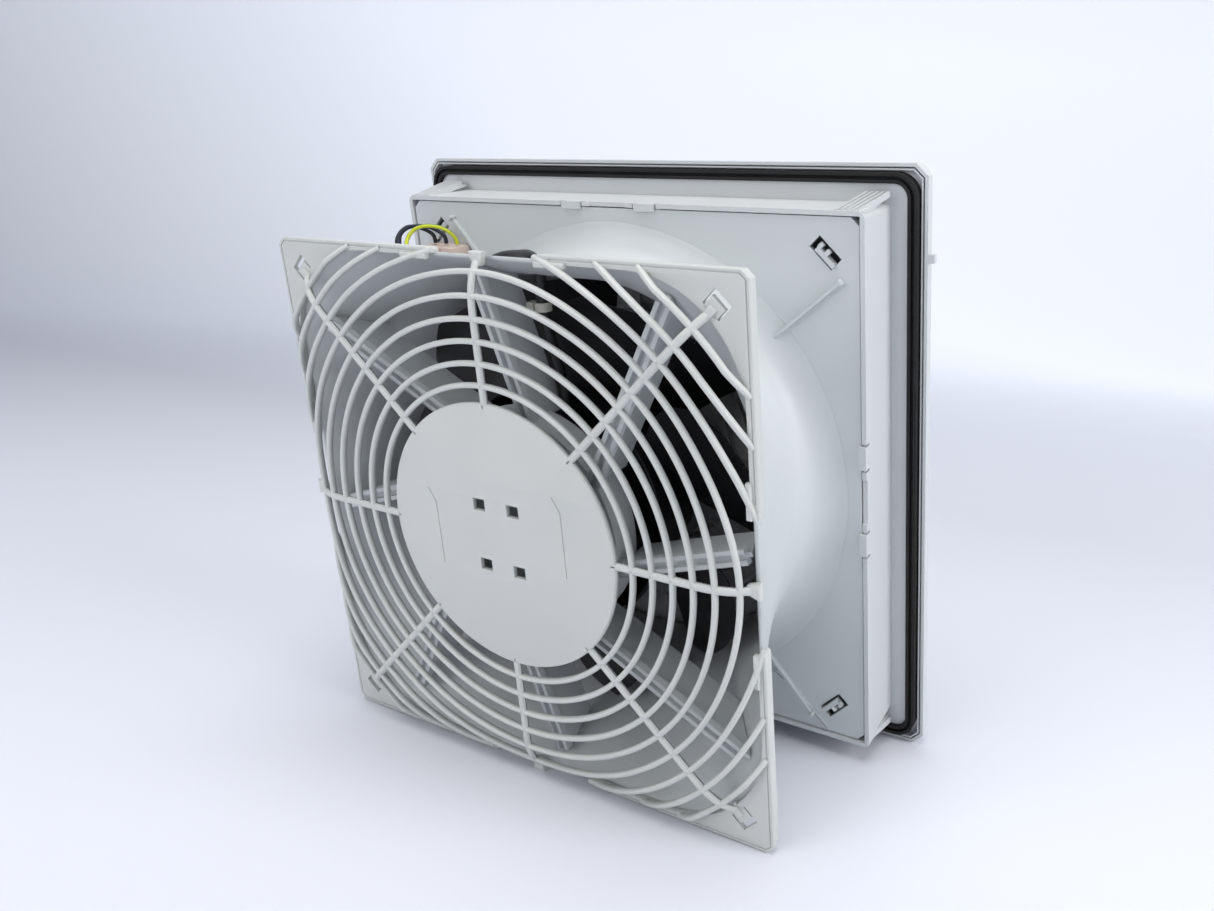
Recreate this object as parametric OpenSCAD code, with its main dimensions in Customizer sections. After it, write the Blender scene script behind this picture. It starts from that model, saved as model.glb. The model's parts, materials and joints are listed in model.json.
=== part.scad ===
/* [Mounting frame] */
// Outside width and height of the square bezel
frame_w = 323; // [318:1:330]
// Corner cut of the bezel, along each side
frame_cut = 6; // [4:0.5:8]
// Wall thickness of the frame moulding
frame_wall = 2.4; // [2:0.1:3]
// Width of the thin rim outside the gasket
rim_wall = 1.7; // [1.4:0.1:2.6]
// Thickness of the second wall inside the rim
fence_t = 0.8; // [0.6:0.1:1.2]
// Depth of the gasket groove behind the rim
groove_deep = 4; // [3:0.5:5]
// How far the front face stands ahead of the rim edge
face_rise = 11.5; // [9:0.5:14]
// Width of the sloped border seen from the front
slope_w = 10; // [7:0.5:12]
// Width of the face of the bezel
bezel_w = 15; // [14:0.5:17]
// Width of the flat step between tub and gasket
step_w = 9; // [7:0.5:10]
// Height of that step behind the groove floor
step_h = 4.6; // [3:0.2:5]
// Corner radius of the step
step_r = 7; // [4:0.5:9]

/* [Tub] */
// Depth of the tub behind the panel
tub_deep = 32; // [28:1:36]
// Outer corner radius of the tub
tub_r = 4; // [2.6:0.2:6]
// Overlap of the bezel over the panel beside the cutout
panel_overlap = 15.5; // [14.5:0.5:17]
// Room between the tub and the cut-out, on each side
cutout_gap = 3; // [2.5:0.1:3.5]

/* [Snap hooks and claws] */
// Width of one snap hook on the tub edge
hook_w = 12; // [9:0.5:14]
// Distance of each hook from the middle of its side
hook_at = 23.3; // [18:0.5:40]
// Reach of a hook over the carrier plate
hook_reach = 1.6; // [1:0.1:2.2]
// Thickness of a hook behind the carrier plate
hook_t = 1.8; // [1.2:0.1:2.4]
// Width of one spring claw
claw_w = 12; // [9:0.5:16]
// Distance of a claw from the tub corner
claw_in = 1; // [0.5:0.5:4]
// Reach of the claws behind the edge of the cut-out
claw_reach = 2.6; // [1:0.1:3.4]
// Distance of the highest claw step behind the panel face
claw_y = 0; // [-1:0.5:4]
// Number of ribs on one claw
claw_ribs = 5; // [3:1:6]
// Thickness of one claw rib
claw_rib_t = 1.1; // [0.9:0.1:1.6]
// Lean of the claw ribs
claw_lean = 8; // [0:1:12]

/* [Gasket] */
// How far the gasket stands behind the rim before it is pressed
gasket_proud = 3; // [1:0.5:4]
// Width of the foam gasket
gasket_w = 5.2; // [4.4:0.2:6]
// Depth of the valley between the two lips
gasket_valley = 2.2; // [1:0.2:3]

/* [Louvre grille] */
// Gap round the louvre in the frame opening
louvre_gap = 1; // [0.6:0.1:1.6]
// Thickness of the louvre frame
louvre_t = 9; // [8:0.5:10]
// Width of the louvre border
louvre_border = 13; // [10:0.5:16]
// Number of slats
slats = 15; // [9:1:18]
// Thickness of one slat
slat_t = 2; // [1.4:0.1:2.6]
// Slope of the slats from the vertical
slat_tilt = 38; // [25:1:50]
// Width of a vertical mullion
mullion_w = 4; // [3:0.5:6]
// Number of mullions
mullions = 2; // [1:1:4]
// Height of the hinge axis above the bottom edge of the louvre
hinge_up = 6.5; // [6.3:0.1:6.8]
// Radius of the hinge pins
hinge_r = 1.8; // [1.4:0.1:2.2]
// Length of a hinge pin beyond the louvre side
hinge_len = 2.6; // [2:0.1:3]
// Running clearance of the hinge pins
hinge_play = 0.05; // [0.02:0.01:0.1]
// Width of the finger notch in the top edge of the louvre
notch_w = 40; // [25:1:60]
// Depth of the finger notch
notch_deep = 4; // [2:0.5:6]
// Height of the release tabs above the middle
tab_up = 116; // [90:1:130]
// Height of one release tab
tab_h = 4.2; // [3:0.2:8]
// Reach of a release tab beyond the bezel side
tab_out = 3.2; // [2:0.2:5]

/* [Filter] */
// Thickness of the filter mat
mat_t = 16; // [12:1:17]
// Gap round the filter mat
mat_gap = 0.5; // [0.3:0.1:1.5]
// Width of the ledge in the tub that carries the inlet grid
ledge_w = 3; // [2:0.5:4]
// Thickness of that ledge
ledge_t = 2; // [1.6:0.2:3]
// Thickness of the inlet grid
grid_t = 3.4; // [2.6:0.2:4]
// Radial pitch of the slanted grid rings
grid_pitch = 13; // [11:0.5:16]
// Radial width of one slanted grid ring
grid_ring_w = 9.4; // [7:0.2:10]
// Thickness of one slanted grid ring
grid_ring_t = 1.5; // [1.2:0.1:2]
// Number of radial bars of the grid
grid_bars = 8; // [6:1:12]
// Width of a radial bar
grid_bar_w = 2.4; // [1.8:0.2:3]
// Radius of the middle disc of the grid
grid_disc_r = 42; // [36:1:46]

/* [Fan carrier] */
// Clearance of the carrier in the tub, on each side
carrier_gap = 0.6; // [0.2:0.1:0.8]
// Wall thickness of the carrier
carrier_wall = 2.2; // [1.8:0.1:2.6]
// Distance of the carrier face below the tub edge
carrier_inset = 1; // [0.5:0.1:2]
// Cut corner of the carrier
carrier_cut = 4; // [2:0.5:6]
// Length of a corner pocket
pocket_w = 15.4; // [12:0.2:18]
// Width of a corner pocket
pocket_h = 7.6; // [6:0.2:10]
// Distance from the inside of the tub to a pocket centre
pocket_in = 17.6; // [15:0.2:22]
// Height of the raised ribs on the carrier face
rib_h = 2.4; // [1.5:0.2:4]
// Thickness of a raised rib
rib_t = 1.6; // [1.2:0.1:3]
// Angle of the raised ribs round the axis
rib_turn = 40; // [38:0.5:41]

/* [Air duct] */
// Distance from the inside of the tub to the throat
throat_inset = 28.6; // [27:0.2:31]
// Rounding radius of the inlet lip
inlet_lip_r = 5; // [3:0.5:6]
// Widening of the duct from the throat to the outlet
flare_out = 17; // [14:0.5:17.5]
// Corner radius of the square outlet, inside
outlet_r = 53; // [45:1:60]
// Wall thickness of the duct
duct_wall = 2; // [1.6:0.1:2.6]
// Radius of the hollow fillet at the foot of the duct
duct_foot_r = 20; // [8:1:22]
// Power of the flare curve
flare_power = 3.4; // [2:0.2:5]

/* [Motor spider] */
// Number of struts
struts = 8; // [6:1:8]
// Direction of the first strut
strut_turn = 17.5; // [10:0.5:24]
// Distance of each strut line from the fan axis
strut_offset = 27; // [22:0.5:31]
// Thickness of the strut blade
strut_t = 2.2; // [1.8:0.1:2.8]
// Width of the channel along a strut
strut_cap_w = 7.4; // [6:0.2:9]
// Depth of a strut
strut_deep = 24; // [18:1:25]
// Width of the groove in the channel
strut_slot_w = 3; // [2:0.2:4]
// Depth of the groove in the channel
strut_slot_deep = 2.4; // [1:0.2:2.8]
// Outside radius of the spider hub
hub_r = 56; // [52:0.5:60]
// Wall thickness of the spider hub
hub_wall = 2.6; // [2:0.1:3]

/* [Fan guard] */
// Distance of the highest point of the guard behind the panel
depth_all = 130.5; // [128:0.5:134]
// Overhang of the guard past the inside of the outlet
guard_lip = 4; // [3:0.5:5]
// Corner cut of the guard
guard_cut = 3.4; // [2:0.2:5]
// Thickness of the guard plate
guard_t = 2.4; // [2:0.1:3]
// Depth of the skirt round the guard corners
guard_skirt = 6; // [4:0.5:8]
// Length of a corner plate from the middle of a side
corner_from = 30; // [26:1:40]
// Height of the ring field over the guard plate
dome_h = 9; // [7:0.5:11]
// Width over which the ring field bends down to the edge
dome_bend = 22; // [16:1:30]
// Radius of the middle disc
disc_r = 66; // [60:0.5:68]
// Distance from the disc to the first ring
ring_gap = 7.9; // [6:0.1:9]
// Pitch of the rings
ring_pitch = 10.15; // [9:0.05:11]
// Length of the flat end of the ring that meets the edge
tab_ring_w = 16; // [10:1:20]
// Width of one ring bar
ring_bar_w = 2.6; // [2:0.1:3.2]
// Height of a ring bar
ring_bar_t = 3; // [2.4:0.1:3.6]
// Width of one spoke
spoke_w = 3.8; // [3:0.1:4.6]
// Number of spokes
spokes = 8; // [8:8:8]
// Width of the foot of a straight spoke
spoke_foot_w = 8; // [5:0.5:11]
// Width of the square windows in the disc
window_w = 7; // [5:0.5:9]
// Height of the square windows in the disc
window_h = 6; // [5:0.5:9]
// Side distance of the windows from the axis
window_x = 10.1; // [8:0.1:14]
// Height distance of the windows from the axis
window_z = 15.4; // [12:0.1:20]
// Width of the snap window in a guard corner
arrow_x = 38; // [30:1:46]
// Length of a half arrow
arrow_long = 32; // [20:1:40]
// Line width of the half arrows
arrow_w = 0.7; // [0.5:0.1:1]
// Depth of the half arrows
arrow_deep = 0.3; // [0.2:0.1:0.5]
// Width of a snap tongue
snap_w = 9.8; // [8:0.2:12]
// Length of the snap window in a guard corner
snap_len = 8.6; // [7:0.2:9.4]
// Distance from the outlet corner to the end of a snap window
snap_out = 11.5; // [9:0.1:13]

/* [Impeller] */
// Number of blades
blades = 7; // [5:1:8]
// Gap between the blade tips and the duct
tip_gap = 2.5; // [1.5:0.1:4]
// Distance of the blade front edge behind the panel
blade_y = 36; // [34:1:44]
// Depth of the blades along the axis
blade_deep = 52; // [44:1:54]
// Angle that one blade covers at the hub
wrap_hub = 51; // [40:1:60]
// Angle of the front edge of the first blade at the hub
blade_start = -14; // [-40:1:20]
// Bow of the rear edge between the hub and the tip
blade_bow = 10; // [4:1:14]
// Lag of the front edge at the tip
blade_lead = 4; // [0:1:12]
// Angle that one blade covers at the tip
wrap_tip = 44; // [36:1:60]
// Thickness of a blade in the middle
blade_t = 2.8; // [2:0.1:3.4]
// Distance from the rotor cup to the hub surface at the inlet side
hub_over_cup = 4; // [3:0.5:6]
// Widening of the hub from the inlet side to the outlet side
hub_flare = 13; // [8:0.5:16]

/* [Motor] */
// Outside radius of the rotor cup
cup_r = 46; // [44:0.5:46]
// Length of the rotor cup
cup_len = 47; // [40:1:48]
// Wall of the rotor cup
cup_wall = 2; // [1.5:0.1:2.5]
// Radius of the shaft
shaft_r = 4; // [3:0.1:5]
// Running clearance of the shaft in its bearings
shaft_play = 0.05; // [0.02:0.01:0.1]
// Outside radius of a bearing
bearing_r = 11; // [10:0.5:12]
// Width of a bearing
bearing_w = 7; // [6:0.5:8]
// Number of balls in a bearing
balls = 7; // [6:1:8]
// Thickness of the magnet ring
magnet_t = 8.45; // [7.45:0.5:11.45]
// Stack height of the stator
stator_h = 20; // [16:1:22]
// Number of stator teeth
teeth = 12; // [9:1:15]
// Air gap between stator and magnets
air_gap = 0.5; // [0.3:0.1:0.8]
// Thickness of the motor flange
flange_t = 3.4; // [2.6:0.2:4]
// Radius of the motor flange
flange_r = 41; // [38:0.5:43]
// Pitch radius of the motor screws
screw_at = 33; // [30:0.5:36]
// Radius of a motor screw shank
screw_r = 2; // [1.5:0.1:2.2]
// Number of motor screws
screws = 4; // [3:1:6]

/* [Wiring] */
// Width of the terminal block
term_w = 26; // [22:0.5:30]
// Height of the terminal block
term_h = 15; // [13:0.5:16]
// Depth of the terminal block
term_deep = 15; // [12:0.5:18]
// Shift of the terminal block from the throat radius
term_side = 0; // [-3:0.5:3]
// Drop of the terminal block from the throat radius
term_drop = 3.5; // [2:0.5:6]
// Number of poles
poles = 3; // [3:1:3]
// Radius of a wire entry
entry_r = 1.6; // [1.4:0.1:1.9]
// Outside radius of one lead
lead_r = 1.1; // [0.9:0.1:1.3]
// Radius of the lead sleeve
sleeve_r = 2.8; // [2.6:0.1:3]

/* [Hidden] */
$fn = 96;

// One overrun for all cuts
over = 1;
// Flat faces of fitted pieces stay this far apart
seat = 0.1;
// Outside radius of the stator, inside the magnets and the air gap
stator_r = cup_r - cup_wall - seat / 2 - magnet_t - air_gap;

// Depths along the fan axis, counted from the panel face toward the enclosure
rim_y = -gasket_proud;
groove_y = rim_y - groove_deep;
plate_y = groove_y - frame_wall;
face_y = plate_y - face_rise;
guard_y = depth_all - dome_h;
carrier_y = tub_deep - carrier_inset;
mat_y = plate_y + mat_gap;
grid_y = mat_y + mat_t + mat_gap;
duct_top_y = guard_y - guard_t - seat;
half = frame_w / 2;
open_w = frame_w - 2 * bezel_w;
cutout_w = frame_w - 2 * panel_overlap;
tub_w = cutout_w - 2 * cutout_gap;
tub_in = tub_w / 2 - frame_wall;
throat_r = tub_in - throat_inset;
outlet_half = throat_r + flare_out;
guard_w = 2 * (outlet_half + guard_lip);
// Radius of the outlet corners on the diagonal
outlet_far = sqrt(2) * (outlet_half - outlet_r) + outlet_r;
snap_far = outlet_far + snap_out;
ring_first_r = disc_r + ring_gap;
rings = floor((outlet_far - ring_first_r) / ring_pitch) + 1;
tip_r = throat_r - tip_gap;
pocket_at = tub_in - pocket_in;
term_x = throat_r + term_side;
term_z = throat_r - term_drop;
light = "#c9ccca";
dark = "#1b1c1e";

// Local x is to the right as seen from the enclosure, y is up, z points into it
module seen() { rotate([90, 0, 180]) children(); }

module slab(from_y, to_y) {
    translate([0, 0, from_y]) linear_extrude(to_y - from_y) children();
}

module cut_square(w, c) {
    h = w / 2;
    polygon([
        [h, h - c], [h - c, h], [c - h, h], [-h, h - c],
        [-h, c - h], [c - h, -h], [h - c, -h], [h, c - h]
    ]);
}

module round_square(w, r) {
    square([w - 2 * r, w], center = true);
    square([w, w - 2 * r], center = true);
    for (sx = [-1, 1], sy = [-1, 1])
        translate([sx * (w / 2 - r), sy * (w / 2 - r)]) circle(r);
}

// Ring between two insets of the frame outline, with cut corners of even width
module inner_ring(a, b) {
    slant = 2 - sqrt(2);
    difference() {
        cut_square(frame_w - 2 * a, frame_cut - slant * a);
        cut_square(frame_w - 2 * b, frame_cut - slant * b);
    }
}

// A closed square frame with mitred corners from one wall section [distance, depth]
module mitred(section, far) {
    for (k = [0:3]) rotate(90 * k)
        intersection() {
            rotate([90, 0, 0]) linear_extrude(4 * far, center = true) polygon(section);
            translate([0, 0, -far]) linear_extrude(2 * far)
                polygon([[0, 0], [2 * far, -2 * far], [2 * far, 2 * far]]);
        }
}

// Radius at an angle of a square with half width a and corner radius c
function quarter(t) = abs(t - 90 * round(t / 90));
function square_r(t, a, c) =
    let (q = quarter(t), k = sqrt(2) * (a - c), flat = atan((a - c) / a))
    q <= flat ? a / cos(q) : k * cos(q - 45) + sqrt(c * c - pow(k * sin(q - 45), 2));

// The duct runs from the round throat at the carrier to the square outlet
duct_low_y = carrier_y;
function duct_t(y) = max(0, (y - duct_low_y) / (duct_top_y - duct_low_y));
function duct_half(y) = throat_r + (outlet_half - throat_r) * pow(duct_t(y), flare_power);
function duct_corner(y) = throat_r + (outlet_r - throat_r) * pow(duct_t(y), flare_power / 2);
function duct_in(t, y) = square_r(t, duct_half(y), duct_corner(y));

module mounting_frame() {
    slope_in = half - slope_w;
    lip = open_w / 2;
    color(light) seen() {
        intersection() {
            mitred([
                [half, rim_y], [half, plate_y], [slope_in, face_y], [lip, face_y],
                [lip, face_y + frame_wall], [slope_in - frame_wall / 2, face_y + frame_wall],
                [half - 1.4 * frame_wall, plate_y], [tub_in, plate_y], [tub_in, groove_y],
                [half - rim_wall, groove_y], [half - rim_wall, rim_y]
            ], half);
            slab(face_y - over, rim_y + over) cut_square(frame_w, frame_cut);
        }
        slab(plate_y, rim_y) inner_ring(0, rim_wall);
        slab(plate_y, rim_y) inner_ring(rim_wall + fence_t, 2 * fence_t + rim_wall);
        slab(groove_y, groove_y + step_h) difference() {
            round_square(tub_w + 2 * step_w, step_r);
            square(2 * tub_in, center = true);
        }
        difference() {
            union() {
                slab(plate_y, tub_deep) difference() {
                    round_square(tub_w, tub_r);
                    square(2 * tub_in, center = true);
                }
                for (k = [0:3]) rotate(90 * k) tub_side();
                for (k = [0, 2], s = [-1, 1]) rotate(90 * k)
                    translate([s * (tub_w / 2 - claw_in - claw_w / 2), tub_w / 2, 0]) claw(s);
            }
            for (k = [0:3]) rotate(90 * k) tub_side_cuts();
        }
        for (s = [-1, 1]) {
            hinge_lug(s);
            translate([s > 0 ? half - rim_wall / 2 : -half - tab_out, tab_up - tab_h / 2,
                rim_y - groove_deep])
                cube([tab_out + rim_wall / 2, tab_h, groove_deep - rim_wall / 4]);
        }
        slab(grid_y - seat - ledge_t, grid_y - seat) difference() {
            square(2 * tub_in + frame_wall, center = true);
            square(2 * (tub_in - ledge_w), center = true);
        }
    }
}

// Two snap hooks on one side
module tub_side() {
    for (s = [-1, 1])
        translate([s * hook_at - hook_w / 2, tub_in - hook_reach, carrier_y + seat])
            cube([hook_w, hook_reach + frame_wall, hook_t]);
}

// Spring flap that rises from the tub edge to a step behind the panel, with ribs on it
module claw(s) {
    claw_h = cutout_gap + claw_reach;
    flap_h = claw_h - 2 * claw_rib_t;
    pitch = (claw_w - claw_rib_t) / (claw_ribs - 1);
    root_y = tub_deep - claw_w;
    rotate([90, 0, 90]) linear_extrude(claw_w, center = true)
        polygon([
            [-frame_wall / 2, root_y], [flap_h - claw_rib_t, claw_y], [flap_h, claw_y],
            [0, tub_deep - claw_rib_t], [-frame_wall / 2, tub_deep - claw_rib_t]
        ]);
    for (k = [0:claw_ribs - 1])
        translate([k * pitch - claw_w / 2 + claw_rib_t / 2, 0, (claw_y + tub_deep) / 2])
            rotate([0, -s * claw_lean, 0]) translate([0, 0, -(claw_y + tub_deep) / 2])
            rotate([90, 0, 90]) linear_extrude(claw_rib_t, center = true)
            polygon([
                [-frame_wall / 4, root_y], [flap_h - claw_rib_t / 2, claw_y + claw_rib_t],
                [claw_h, claw_y + claw_rib_t], [claw_h, claw_y + 2 * claw_rib_t],
                [claw_rib_t / 2, tub_deep - claw_rib_t], [-frame_wall / 4, tub_deep - claw_rib_t]
            ]);
}

// The notches beside the hooks, and the lowered edge between them
module tub_side_cuts() {
    slit = frame_wall / 2;
    for (s = [-1, 1], e = [-1, 1])
        translate([s * hook_at + e * (hook_w + slit) / 2 - slit / 2,
            tub_in - over, tub_deep - hook_w / 3])
            cube([slit, frame_wall + 2 * over, hook_w]);
    translate([-hook_at / 2, tub_in - over, tub_deep - frame_wall / 2])
        cube([hook_at, frame_wall + 2 * over, hook_w]);
}

louvre_w = open_w - 2 * louvre_gap;
hinge_z = -louvre_w / 2 + hinge_up;
louvre_back_y = face_y - frame_wall + louvre_t;
hinge_y = face_y + frame_wall + hinge_r + hinge_play + seat;
lug_out = open_w / 2 + hinge_len + frame_wall;

// Bearing block for one hinge pin behind the border of the frame
module hinge_lug(s) {
    lug_half = 2 * hinge_r + frame_wall / 4;
    gap = louvre_gap / 2;
    inner = louvre_w / 2 + gap;
    difference() {
        union() {
            translate([s > 0 ? inner : -lug_out, hinge_z - lug_half, hinge_y])
                cube([lug_out - inner, 2 * lug_half, plate_y - hinge_y]);
            translate([s * (inner + lug_out) / 2, hinge_z, hinge_y]) rotate([0, 90, 0])
                cylinder(r = hinge_r + frame_wall / 2, h = lug_out - inner, center = true);
        }
        translate([s * lug_out, hinge_z, hinge_y]) rotate([0, 90, 0])
            cylinder(r = hinge_r + hinge_play, h = 3 * lug_out - 2 * inner, center = true);
    }
}

module panel_gasket() {
    inner = tub_w / 2 + step_w + seat;
    crest = gasket_w / 3;
    low = -gasket_valley;
    color(dark) seen() {
        slab(groove_y, low) gasket_ring(inner, gasket_w);
        slab(low - seat, 0) gasket_ring(inner, crest);
        slab(low - seat, 0) gasket_ring(inner + gasket_w - crest, crest);
    }
}

// Square ring with corners that run round the tub step
module gasket_ring(inner, w) {
    r = step_r + inner - tub_w / 2 - step_w;
    difference() {
        round_square(2 * (inner + w), r + w);
        round_square(2 * inner, r);
    }
}

module louvre_grille() {
    front = louvre_back_y - louvre_t;
    w = louvre_w;
    inner = w - 2 * louvre_border;
    pitch = inner / slats;
    chamfer = louvre_t / 3;
    run = louvre_t - 2 * slat_t / 3;
    color(light) seen() {
        difference() {
            intersection() {
                mitred([
                    [w / 2, louvre_back_y], [w / 2, front + chamfer], [w / 2 - chamfer, front],
                    [inner / 2, front], [inner / 2, louvre_back_y]
                ], half);
                slab(front - over, louvre_back_y + over) cut_square(w, frame_cut / 2);
            }
            translate([-notch_w / 2, w / 2 - notch_deep / 2, front - over])
                cube([notch_w, notch_deep, notch_deep + over]);
            slab(front + frame_wall, louvre_back_y + over) difference() {
                square(w - 2 * frame_wall, center = true);
                square(inner + 2 * frame_wall, center = true);
            }
        }
        for (k = [0:slats - 1])
            translate([0, inner / 2 - (k + 0.5) * pitch, (front + louvre_back_y) / 2])
                rotate([0, 90, 0]) linear_extrude(inner + 2 * seat, center = true)
                polygon([
                    [run / 2, -run * tan(slat_tilt) / 2 - slat_t / 2],
                    [run / 2, -run * tan(slat_tilt) / 2 + slat_t / 2],
                    [-run / 2, run * tan(slat_tilt) / 2 + slat_t / 2],
                    [-run / 2, run * tan(slat_tilt) / 2 - slat_t / 2]
                ]);
        for (m = [1:mullions])
            translate([inner * (m / (mullions + 1) - 0.5) - mullion_w / 2, -inner / 2 - seat,
                louvre_back_y - louvre_t / 3])
                cube([mullion_w, inner + 2 * seat, louvre_t / 3]);
        for (s = [-1, 1])
            translate([s * (w / 2 + (hinge_len - frame_wall) / 2), hinge_z, hinge_y])
                rotate([0, 90, 0])
                cylinder(r = hinge_r, h = hinge_len + frame_wall, center = true);
    }
}

module filter_mat() {
    color("#e9ebea") seen() slab(mat_y, mat_y + mat_t)
        square(2 * (tub_in - ledge_w - mat_gap), center = true);
}

module inlet_grid() {
    outer = 2 * (tub_in - mat_gap);
    ring_out = throat_r - inlet_lip_r;
    count = floor((ring_out - grid_disc_r) / grid_pitch);
    lean = grid_t - grid_ring_t;
    color(light) seen() {
        slab(grid_y, grid_y + grid_t) difference() {
            square(outer, center = true);
            circle(ring_out);
        }
        slab(grid_y, grid_y + grid_ring_t) circle(grid_disc_r);
        for (k = [1:count]) {
            r = grid_disc_r + k * grid_pitch - grid_ring_w;
            translate([0, 0, grid_y]) rotate_extrude()
                polygon([
                    [r, 0], [r + grid_ring_t, 0], [r + grid_ring_w, lean],
                    [r + grid_ring_w, grid_t], [r + grid_ring_w - grid_ring_t, grid_t],
                    [r, grid_ring_t]
                ]);
        }
        for (k = [0:grid_bars - 1]) rotate(360 * k / grid_bars)
            translate([grid_disc_r - over, -grid_bar_w / 2, grid_y])
                cube([ring_out - grid_disc_r + 2 * over, grid_bar_w, grid_t]);
    }
}

carrier_half = tub_in - carrier_gap;
// Where the ribs start beside the foot of the duct, and where they end
rib_near = throat_r + duct_wall + duct_foot_r + seat;
rib_far = sqrt(2) * pocket_at - duct_wall;
// Curve of the lead track, from the duct to the edge, as shares of the throat radius
track_shares = [[0.776, -0.99], [0.862, -1.038], [0.946, -1.126], [1.009, -1.187],
    [1.055, -1.232]];
lip_y = grid_y + grid_t + seat;

module fan_carrier() {
    color(light) seen() difference() {
        union() {
            slab(carrier_y - carrier_wall, carrier_y) cut_square(2 * carrier_half, carrier_cut);
            slab(lip_y, carrier_y) difference() {
                cut_square(2 * carrier_half, carrier_cut);
                cut_square(2 * (carrier_half - carrier_wall), carrier_cut);
            }
            inlet_ring();
            for (k = [0:3]) rotate(90 * k) {
                rotate(rib_turn) translate([rib_near, -rib_t / 2, carrier_y - seat]) {
                    cube([rib_far - rib_near, rib_t, rib_h + seat]);
                    translate([rib_far - rib_near - rib_t, -rib_t / 2, 0])
                        cube([rib_t, 2 * rib_t, rib_h + rib_t]);
                }
                pocket_hook();
            }
            lead_track();
        }
        slab(lip_y - over, carrier_y + over) circle(throat_r);
        for (k = [0:3]) rotate(90 * k) {
            difference() {
                slab(carrier_y - carrier_wall - over, carrier_y + over)
                    translate([pocket_at, pocket_at]) rotate(45)
                    square([pocket_h, pocket_w], center = true);
                pocket_hook();
            }
            for (s = [-1, 1]) translate([s * hook_at - hook_w / 2 - carrier_wall / 2,
                carrier_half - carrier_wall / 3, carrier_y - carrier_wall])
                cube([hook_w + carrier_wall, carrier_wall, carrier_wall / 2]);
        }
    }
}

// Round inlet lip and the short throat under the plate
module inlet_ring() {
    translate([0, 0, lip_y]) rotate_extrude() difference() {
        union() {
            translate([throat_r, inlet_lip_r]) square([duct_wall, carrier_y - lip_y - inlet_lip_r]);
            translate([throat_r + inlet_lip_r, inlet_lip_r]) circle(inlet_lip_r);
        }
        translate([throat_r + inlet_lip_r, inlet_lip_r]) circle(inlet_lip_r - duct_wall);
        translate([throat_r + duct_wall, inlet_lip_r])
            square([2 * inlet_lip_r, carrier_y]);
    }
}

// Tongue that stands in a corner pocket, with two stubs toward the corner
module pocket_hook() {
    t = carrier_wall;
    arm = pocket_h / 3;
    translate([pocket_at, pocket_at, carrier_y - t]) rotate(45) {
        translate([-arm, -pocket_w / 2 - seat, 0]) cube([arm, 0.8 * pocket_w, t + arm / 2]);
        for (p = [0, 0.3]) translate([-seat, -pocket_w / 8 + p * pocket_w, arm / 4])
            cube([arm, pocket_w / 7, t + arm / 4]);
    }
}

// Two low parallel walls that guide a lead past the pocket
module lead_track() {
    for (side = [-1, 1])
        for (i = [0:len(track_shares) - 2]) {
            a = throat_r * track_shares[i];
            b = throat_r * track_shares[i + 1];
            turn = atan2(b[1] - a[1], b[0] - a[0]);
            long = sqrt(pow(b[0] - a[0], 2) + pow(b[1] - a[1], 2));
            translate([a[0], a[1], carrier_y - seat]) rotate(turn)
                translate([-rib_t / 4, side * rib_t / 1.6 - rib_t / 4, 0])
                cube([long + rib_t / 2, rib_t / 2, rib_h / 3 + seat]);
        }
}

duct_around = 96;
duct_steps = 11;
duct_shares = [0, 0.012, 0.035, 0.075, 0.14, 0.23, 0.4, 0.6, 0.78, 0.9, 1];
// Width that the hollow fillet at the foot of the duct adds at a depth
function foot(y) = let (left = max(0, duct_foot_r - (y - duct_low_y)))
    duct_foot_r - sqrt(duct_foot_r * duct_foot_r - left * left);

// Lofted wall from the round throat to the square outlet
module air_duct() {
    n = duct_around;
    m = duct_steps;
    rise = duct_top_y - duct_low_y - seat;
    levels = [for (s = duct_shares) duct_low_y + seat + s * rise];
    inner = [for (y = levels) for (i = [0:n - 1])
        let (t = 360 * i / n, r = duct_in(t, y)) [r * cos(t), r * sin(t), y]];
    outer = [for (y = levels) for (i = [0:n - 1])
        let (t = 360 * i / n, r = duct_in(t, y) + duct_wall + foot(y)) [r * cos(t), r * sin(t), y]];
    size = n * m;
    function next(i) = (i + 1) % n;
    walls = [for (j = [0:m - 2]) for (i = [0:n - 1]) each [
        [j * n + i, j * n + next(i), (j + 1) * n + next(i), (j + 1) * n + i],
        [size + j * n + next(i), size + j * n + i, size + (j + 1) * n + i,
            size + (j + 1) * n + next(i)]
    ]];
    ends = [for (i = [0:n - 1]) each [
        [next(i), i, size + i, size + next(i)],
        [(m - 1) * n + i, (m - 1) * n + next(i), size + (m - 1) * n + next(i),
            size + (m - 1) * n + i]
    ]];
    color(light) seen() difference() {
        polyhedron(points = concat(inner, outer), faces = concat(walls, ends), convexity = 8);
        translate([sleeve_hole[0], throat_r, sleeve_hole[2]]) rotate([-90, 0, 0])
            cylinder(r = sleeve_r + sleeve_gap, h = outlet_half, $fn = 24);
    }
}

strut_y = guard_y - guard_t * 2;
hub_y = strut_y - strut_deep / 1.6;

// How far along a strut the duct wall is met
function strut_step(a, y, s, n) = n == 0 ? s :
    strut_step(a, y, sqrt(pow(duct_in(a - atan(strut_offset / s), y), 2)
        - strut_offset * strut_offset), n - 1);
// Seat of a strut end in front of the duct wall
strut_gap = 0.5;
strut_shares = [1, 0.75, 0.5, 0.25];
function strut_end(a, y) = strut_step(a, y, throat_r, 6) - strut_gap;

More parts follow.
